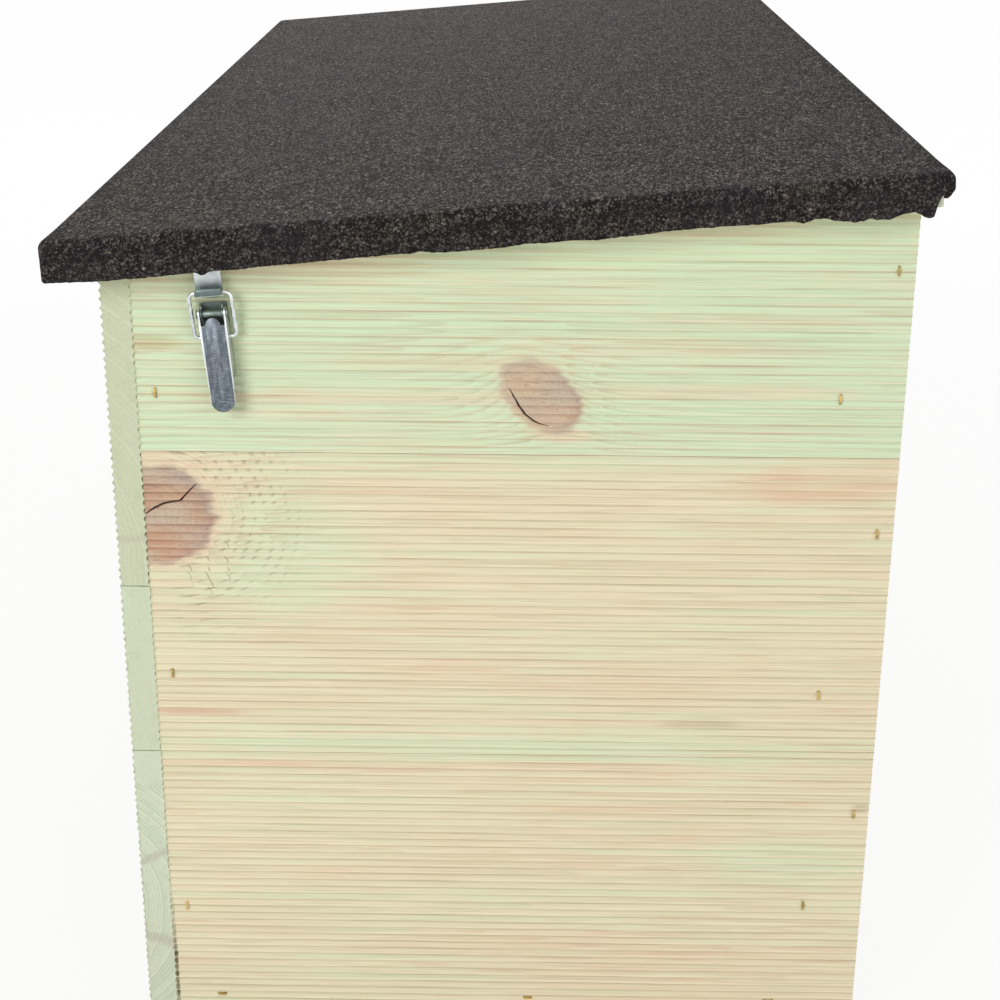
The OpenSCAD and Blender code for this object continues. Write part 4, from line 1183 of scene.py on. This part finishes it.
def felt_mesh():
    """The felt as one closed mesh, with the distance down from the fold kept on its points."""
    rings = felt_rings()
    count = len(rings[0][0])
    points = np.concatenate(
        [np.column_stack([ring + felt_middle.xy, height]) for ring, height, down in rings])
    points = points + sprung(points)
    faces = []
    for ring in range(len(rings) - 1):
        for i in range(count):
            here, after = ring * count + i, ring * count + (i + 1) % count
            faces.append((here, after, after + count, here + count))
    last = (len(rings) - 1) * count
    high_start, rear_start = front_points, front_points + side_points
    low_start = rear_start + front_points
    for i in range(side_points):
        faces.append((last + (low_start + side_points - i) % count, last + high_start + i,
                      last + high_start + i + 1, last + low_start + side_points - i - 1))
    faces.append(tuple(last + i for i in range(front_points + 1)))
    faces.append(tuple(last + i for i in range(rear_start, low_start + 1)))
    faces.append(tuple(range(count))[::-1])
    mesh = bpy.data.meshes.new("roof_felt")
    mesh.from_pydata([on_roof @ Vector(p) for p in points], [], faces)
    mesh.update()
    down = mesh.attributes.new("down", "FLOAT", "POINT")
    down.data.foreach_set("value", np.concatenate([np.full(count, d) for ring, height, d in rings]))
    return mesh


felt = felt_mesh()
check = bmesh.new()
check.from_mesh(felt)
print("felt", len(felt.polygons), "faces, closed:", all(e.is_manifold for e in check.edges),
      "volume in cubic centimetres", round(check.calc_volume(signed=True) * 1e6, 1))
check.free()

# %% [markdown]
# Mineral grit is thousands of chips of slate about a millimetre across. Cells of a Voronoi pattern stand
# for them: each has its own grey, a few carry a painted near-white glint, and the gaps between them are
# black bitumen. Rolling lays the chips along the sheet, so the pattern is drawn out that way. The upright
# skirt is painted darker, and the rounded fold darker in patches: painted shade.


# %% The felt's finish
CHIPS_PER_METRE, FINE_CHIPS_PER_METRE = 720, 1350
CHIP_STRETCH = 0.42
BITUMEN = paint(20, 18, 18)
FOLD_SHADE = paint(30, 28, 31)
SKIRT_SHADE = paint(37, 34, 36)
BLUE_PATCH = paint(56, 54, 61)
WORN = paint(88, 82, 74)
GLINT = paint(150, 143, 141)
SLATES = ((0.0, paint(26, 23, 21)), (0.25, paint(46, 42, 39)), (0.5, paint(78, 73, 67)),
          (0.75, paint(110, 103, 96)), (0.92, paint(136, 128, 120)), (1.0, paint(170, 162, 154)))


def grit_finish(name):
    """Slate grit on bitumen. The mesh says how many millimetres a point lies down from the fold."""
    material, graph = new_finish(name)
    point, (x, y, z) = graph.point()
    rolled = graph.vector(x, y * CHIP_STRETCH, z)
    down = graph.add("ShaderNodeAttribute", {"attribute_name": "down"}, out="Fac")

    def chips(per_metre):
        cell = graph.add("ShaderNodeTexVoronoi", {"feature": "F1"}, {"Vector": rolled, "Scale": per_metre})
        return cell, graph.add("ShaderNodeSeparateColor", sockets={0: cell.also("Color")})

    cell, luck = chips(CHIPS_PER_METRE)
    fine_cell, fine_luck = chips(FINE_CHIPS_PER_METRE)
    skirt = down.rise(0.0, 3.0)
    maze = graph.noise(rolled, 520, 3.0).rise(0.25, 0.75)
    clumps = (graph.noise(rolled, 330, 1.0) - 0.5) * 0.6 + (graph.noise(point, 130, 1.0) - 0.5) * 0.35
    tone = (luck - 0.5) * 0.66 + (fine_luck - 0.5) * 0.44 + (maze - 0.5) * 0.45 + clumps
    tone = tone + (graph.noise(point, 45, 1.0) - 0.5) * 0.16 + 0.26
    colour = graph.add("ShaderNodeValToRGB", {"stops": SLATES}, {"Fac": tone})
    colour = blend((cell + fine_cell * 0.3).rise(0.5, 0.95) * 0.6, colour, BITUMEN)
    colour = blend(graph.noise(point, 22).rise(0.45, 0.65) * 0.22, colour, BLUE_PATCH)
    # Painted glints: a few chips near white, fewer on the skirt.
    glints = fine_luck.also("Green").rise(0.88, 0.97) * (0.5 - skirt * 0.15)
    colour = blend(glints, colour, GLINT)
    # Painted shade: the upright skirt is darker than the top.
    colour = blend(skirt * (0.17 + graph.noise(point, 70).rise(0.4, 0.65) * 0.22), colour, SKIRT_SHADE)
    # Painted shade in patches along the rounded fold.
    fold_shade = down.hump(-13.0, -3.0, 3.0, 9.0) * graph.noise(point, 34).rise(0.35, 0.6)
    colour = blend(fold_shade * 0.45, colour, FOLD_SHADE)
    worn = graph.noise(point, 24).rise(0.6, 0.78) * (1 - skirt)
    colour = blend(worn * 0.25, colour, WORN)
    graph.close((1 - cell) * 0.5 + graph.noise(point, 420) * 0.3, MM, 1.0, {
        "Base Color": colour,
        "Roughness": 0.95 - fine_luck * 0.2,
        "Specular IOR Level": 0.05,
    })
    return material


felt.materials.append(grit_finish("roofing_felt_grit"))
settle("roof_felt_sheet", felt, "roof", "roof_felt", 50)
print("felt laid")

# %% [markdown]
# The draw latches and hinges are pressed from zinc-plated steel. Plating is bright where it is clean and
# clouds to blue-grey with handling, so one finish mixes both by noise. The lever's flat face is painted
# much darker than its folded rims, as a painted reflection of dark surroundings. The hook and the base
# plate get bands of painted shade and painted highlight, and the base plate is painted dark as shade.


# %% Zinc-plated steel
rivet = middle_of("front_latch_rivet")
REFLECTION_STREAK = paint(132, 139, 146)


def steel(name, bright, dull, roughness=0.3, scratches=0.3, face=None, painted_light=()):
    """Plated steel. A face is (half width, colour): a strip along the latch, over its rivet, painted darker
    as a painted reflection of dark surroundings.

    Each shade is (z, reach, colour), a painted shade or painted highlight: the steel takes that colour, with
    a soft edge of that reach, below a line that runs along the roof's slope and is at height z where it
    crosses the latch.
    """
    material, graph = new_finish(name)
    point, (x, y, z) = graph.point()
    clouding = graph.noise(point, 160, 3.0).rise(0.38, 0.68)
    colour = blend(clouding * 0.7, bright, dull)
    if face:
        # Painted reflection: a dark strip down the lever's flat face, with lighter streaks.
        half, painted_tone = face
        across = (x - rivet.x) * math.cos(slope) + (z - rivet.z) * math.sin(slope)
        dark_reflection = 1 - across.math("ABSOLUTE").rise(half - 0.5 * MM, half)
        reflection_streaks = graph.noise(graph.vector(x * 420, y * 420, z * 110), detail=3.0).rise(0.4, 0.72)
        colour = blend(dark_reflection, colour, blend(reflection_streaks, painted_tone, REFLECTION_STREAK))
    # Painted shade and painted highlight, in bands along the roof's slope.
    lift = z - (x - rivet.x) * math.tan(slope)
    for start, reach, painted_tone in painted_light:
        colour = blend(1 - lift.rise(start - reach, start + reach), colour, painted_tone)
    scratch = graph.noise(graph.vector(x * 300, y * 300, z * 2400)).rise(0.55, 0.75)
    graph.close(graph.noise(point, 900, 3.0) + scratch * scratches, 0.05 * MM, 0.6, {
        "Base Color": blend(scratch * scratches, colour, bright),
        "Metallic": 1.0,
        "Roughness": roughness + clouding * 0.15 + scratch * 0.08,
    })
    return material


ZINC = paint(206, 209, 212)
ZINC_DULL = paint(158, 164, 172)
ZINC_GREEN = paint(176, 184, 184)
plated_wire = steel("zinc_plated_wire", paint(232, 235, 235), ZINC_GREEN, roughness=0.16, scratches=0.1)
hinge_steel = steel("hinge_steel", ZINC, ZINC_DULL, roughness=0.34)
screw_steel = steel("screw_steel", paint(196, 196, 192), paint(150, 148, 142), roughness=0.28)
nail_steel = steel("nail_steel", paint(168, 166, 160), paint(128, 124, 116), roughness=0.4)
# The lever's face strip is a painted reflection of dark surroundings.
lever_steel = steel("lever_steel", paint(232, 234, 236), ZINC, face=(6.9 * MM, paint(96, 104, 112)))
hook_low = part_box("front_latch_hook")[0]
lip_z = hook_low.z + (rivet.x - hook_low.x) * math.tan(slope)
# The hook's lower part gets painted shade, and the lowest edge of its lip a painted highlight.
hook_steel = steel("hook_steel", paint(214, 219, 219), ZINC_GREEN,
                   painted_light=((lip_z + 8 * MM, 4 * MM, paint(106, 120, 118)),
                           (lip_z + 1.3 * MM, 0.2 * MM, paint(244, 246, 244))))
# The base plate is painted dark, as painted shade under the lever, and pale green below the rivet, the colour
# of the wall in soft shadow: painted shade.
base_steel = steel("base_steel", paint(120, 132, 128), paint(84, 96, 94), roughness=0.42,
                   painted_light=((rivet.z - 8 * MM, 3 * MM, paint(158, 172, 150)),))
rivet_steel = steel("rivet_steel", paint(128, 140, 134), paint(92, 104, 100), roughness=0.4)
brass = steel("staple_brass", paint(214, 184, 112), paint(116, 100, 62), roughness=0.42, scratches=0.2)
print("eight steels, and brass for the staples")

# %% [markdown]
# Now that there is brass, the staples can be set. The start mesh has a point for each staple, at the
# middle of its crown, and that point carries two directions: out of the wall, and along the crown.

# %% Set the staples
STAPLE_WIDTH, STAPLE_THICKNESS = 1.3 * MM, 1.0 * MM
starts = bpy.data.meshes.new("staple_starts")
starts.from_pydata([middle[:] for middle, outward, crown in staples], [], [])
for label, which in (("outward", 1), ("crown", 2)):
    stored = starts.attributes.new(label, "FLOAT_VECTOR", "POINT")
    stored.data.foreach_set("vector", np.array([each[which] for each in staples]).ravel())
crown_l, leg_l = (float(extent) for extent in np.sort(np.ptp(islands("wall_staples")[0], axis=0))[1:])
staple_mesh = grow("wall_staples_bent", staple, staple_ids, {
    "Crown": crown_l,
    "Leg": leg_l - STAPLE_THICKNESS,
    "Wire Width": STAPLE_WIDTH,
    "Wire Thickness": STAPLE_THICKNESS,
    "Finish": brass,
}, starts)
settle("wall_staples_bent", staple_mesh, "house", "wall_staples")
print("crown", round(crown_l / MM, 2), "leg", round(leg_l / MM, 2), len(staple_mesh.polygons), "faces")

# %% [markdown]
# Like the timber, each fitting is a merged copy of its solid with softened edges. Sheet that was bent in
# a press has a radius at every fold, and wire is smooth all round. Two sizes follow the photograph more
# closely than the solids do: the bail's wire is a little thicker, and the latch's base plate ends lower.

# %% Latches, hinges and fixings
fittings = {
    "latch_base": (base_steel, 0.25, "house"),
    "latch_rivet": (rivet_steel, 0.2, "house"),
    "latch_lever": (lever_steel, 0.35, "lever"),
    "latch_bail": (plated_wire, 0.0, "bail"),
    "latch_hook": (hook_steel, 0.25, "roof"),
    "hinge_wall_leaf": (hinge_steel, 0.2, "house"),
    "hinge_roof_leaf": (hinge_steel, 0.2, "roof"),
    "hinge_pin": (hinge_steel, 0.3, "house"),
}
WIRE_EXTRA = 0.22 * MM
BASE_ABOVE_RIVET = 4.9 * MM
FOLD_ANGLE = 35


def shorten_base(piece, end):
    """Saws a latch's base plate off just above its rivet, square to the latch."""
    tools = bmesh.new()
    place = Matrix.Translation(middle_of(f"{end}_latch_rivet")) @ on_roof.to_3x3().to_4x4()
    reach = 2 * BEYOND
    cutter_box(tools, (-reach, -reach, BASE_ABOVE_RIVET), (reach, reach, reach), place)
    piece.data = cut(piece.data, tools)


for kind, (finish, width, body) in fittings.items():
    for end in ("front", "rear"):
        on = f"{end}_{body}" if body in ("lever", "bail") else body
        piece = dress(f"{end}_{kind}", finish, on, width * MM, FOLD_ANGLE)
        if kind == "latch_base":
            shorten_base(piece, end)
        if kind == "latch_bail":
            for vert in piece.data.vertices:
                vert.co += vert.normal * WIRE_EXTRA
fixings = {
    "hinge_wall_screws": (screw_steel, "house"),
    "hinge_roof_screws": (screw_steel, "roof"),
    "latch_base_screws": (screw_steel, "house"),
    "latch_hook_screws": (screw_steel, "roof"),
    "batten_screws": (screw_steel, "roof"),
    "floor_nails": (nail_steel, "house"),
}
for name, (finish, body) in fixings.items():
    dress(name, finish, body, 0.0, FOLD_ANGLE)
print(2 * len(fittings), "fittings and", len(fixings), "groups of fixings")
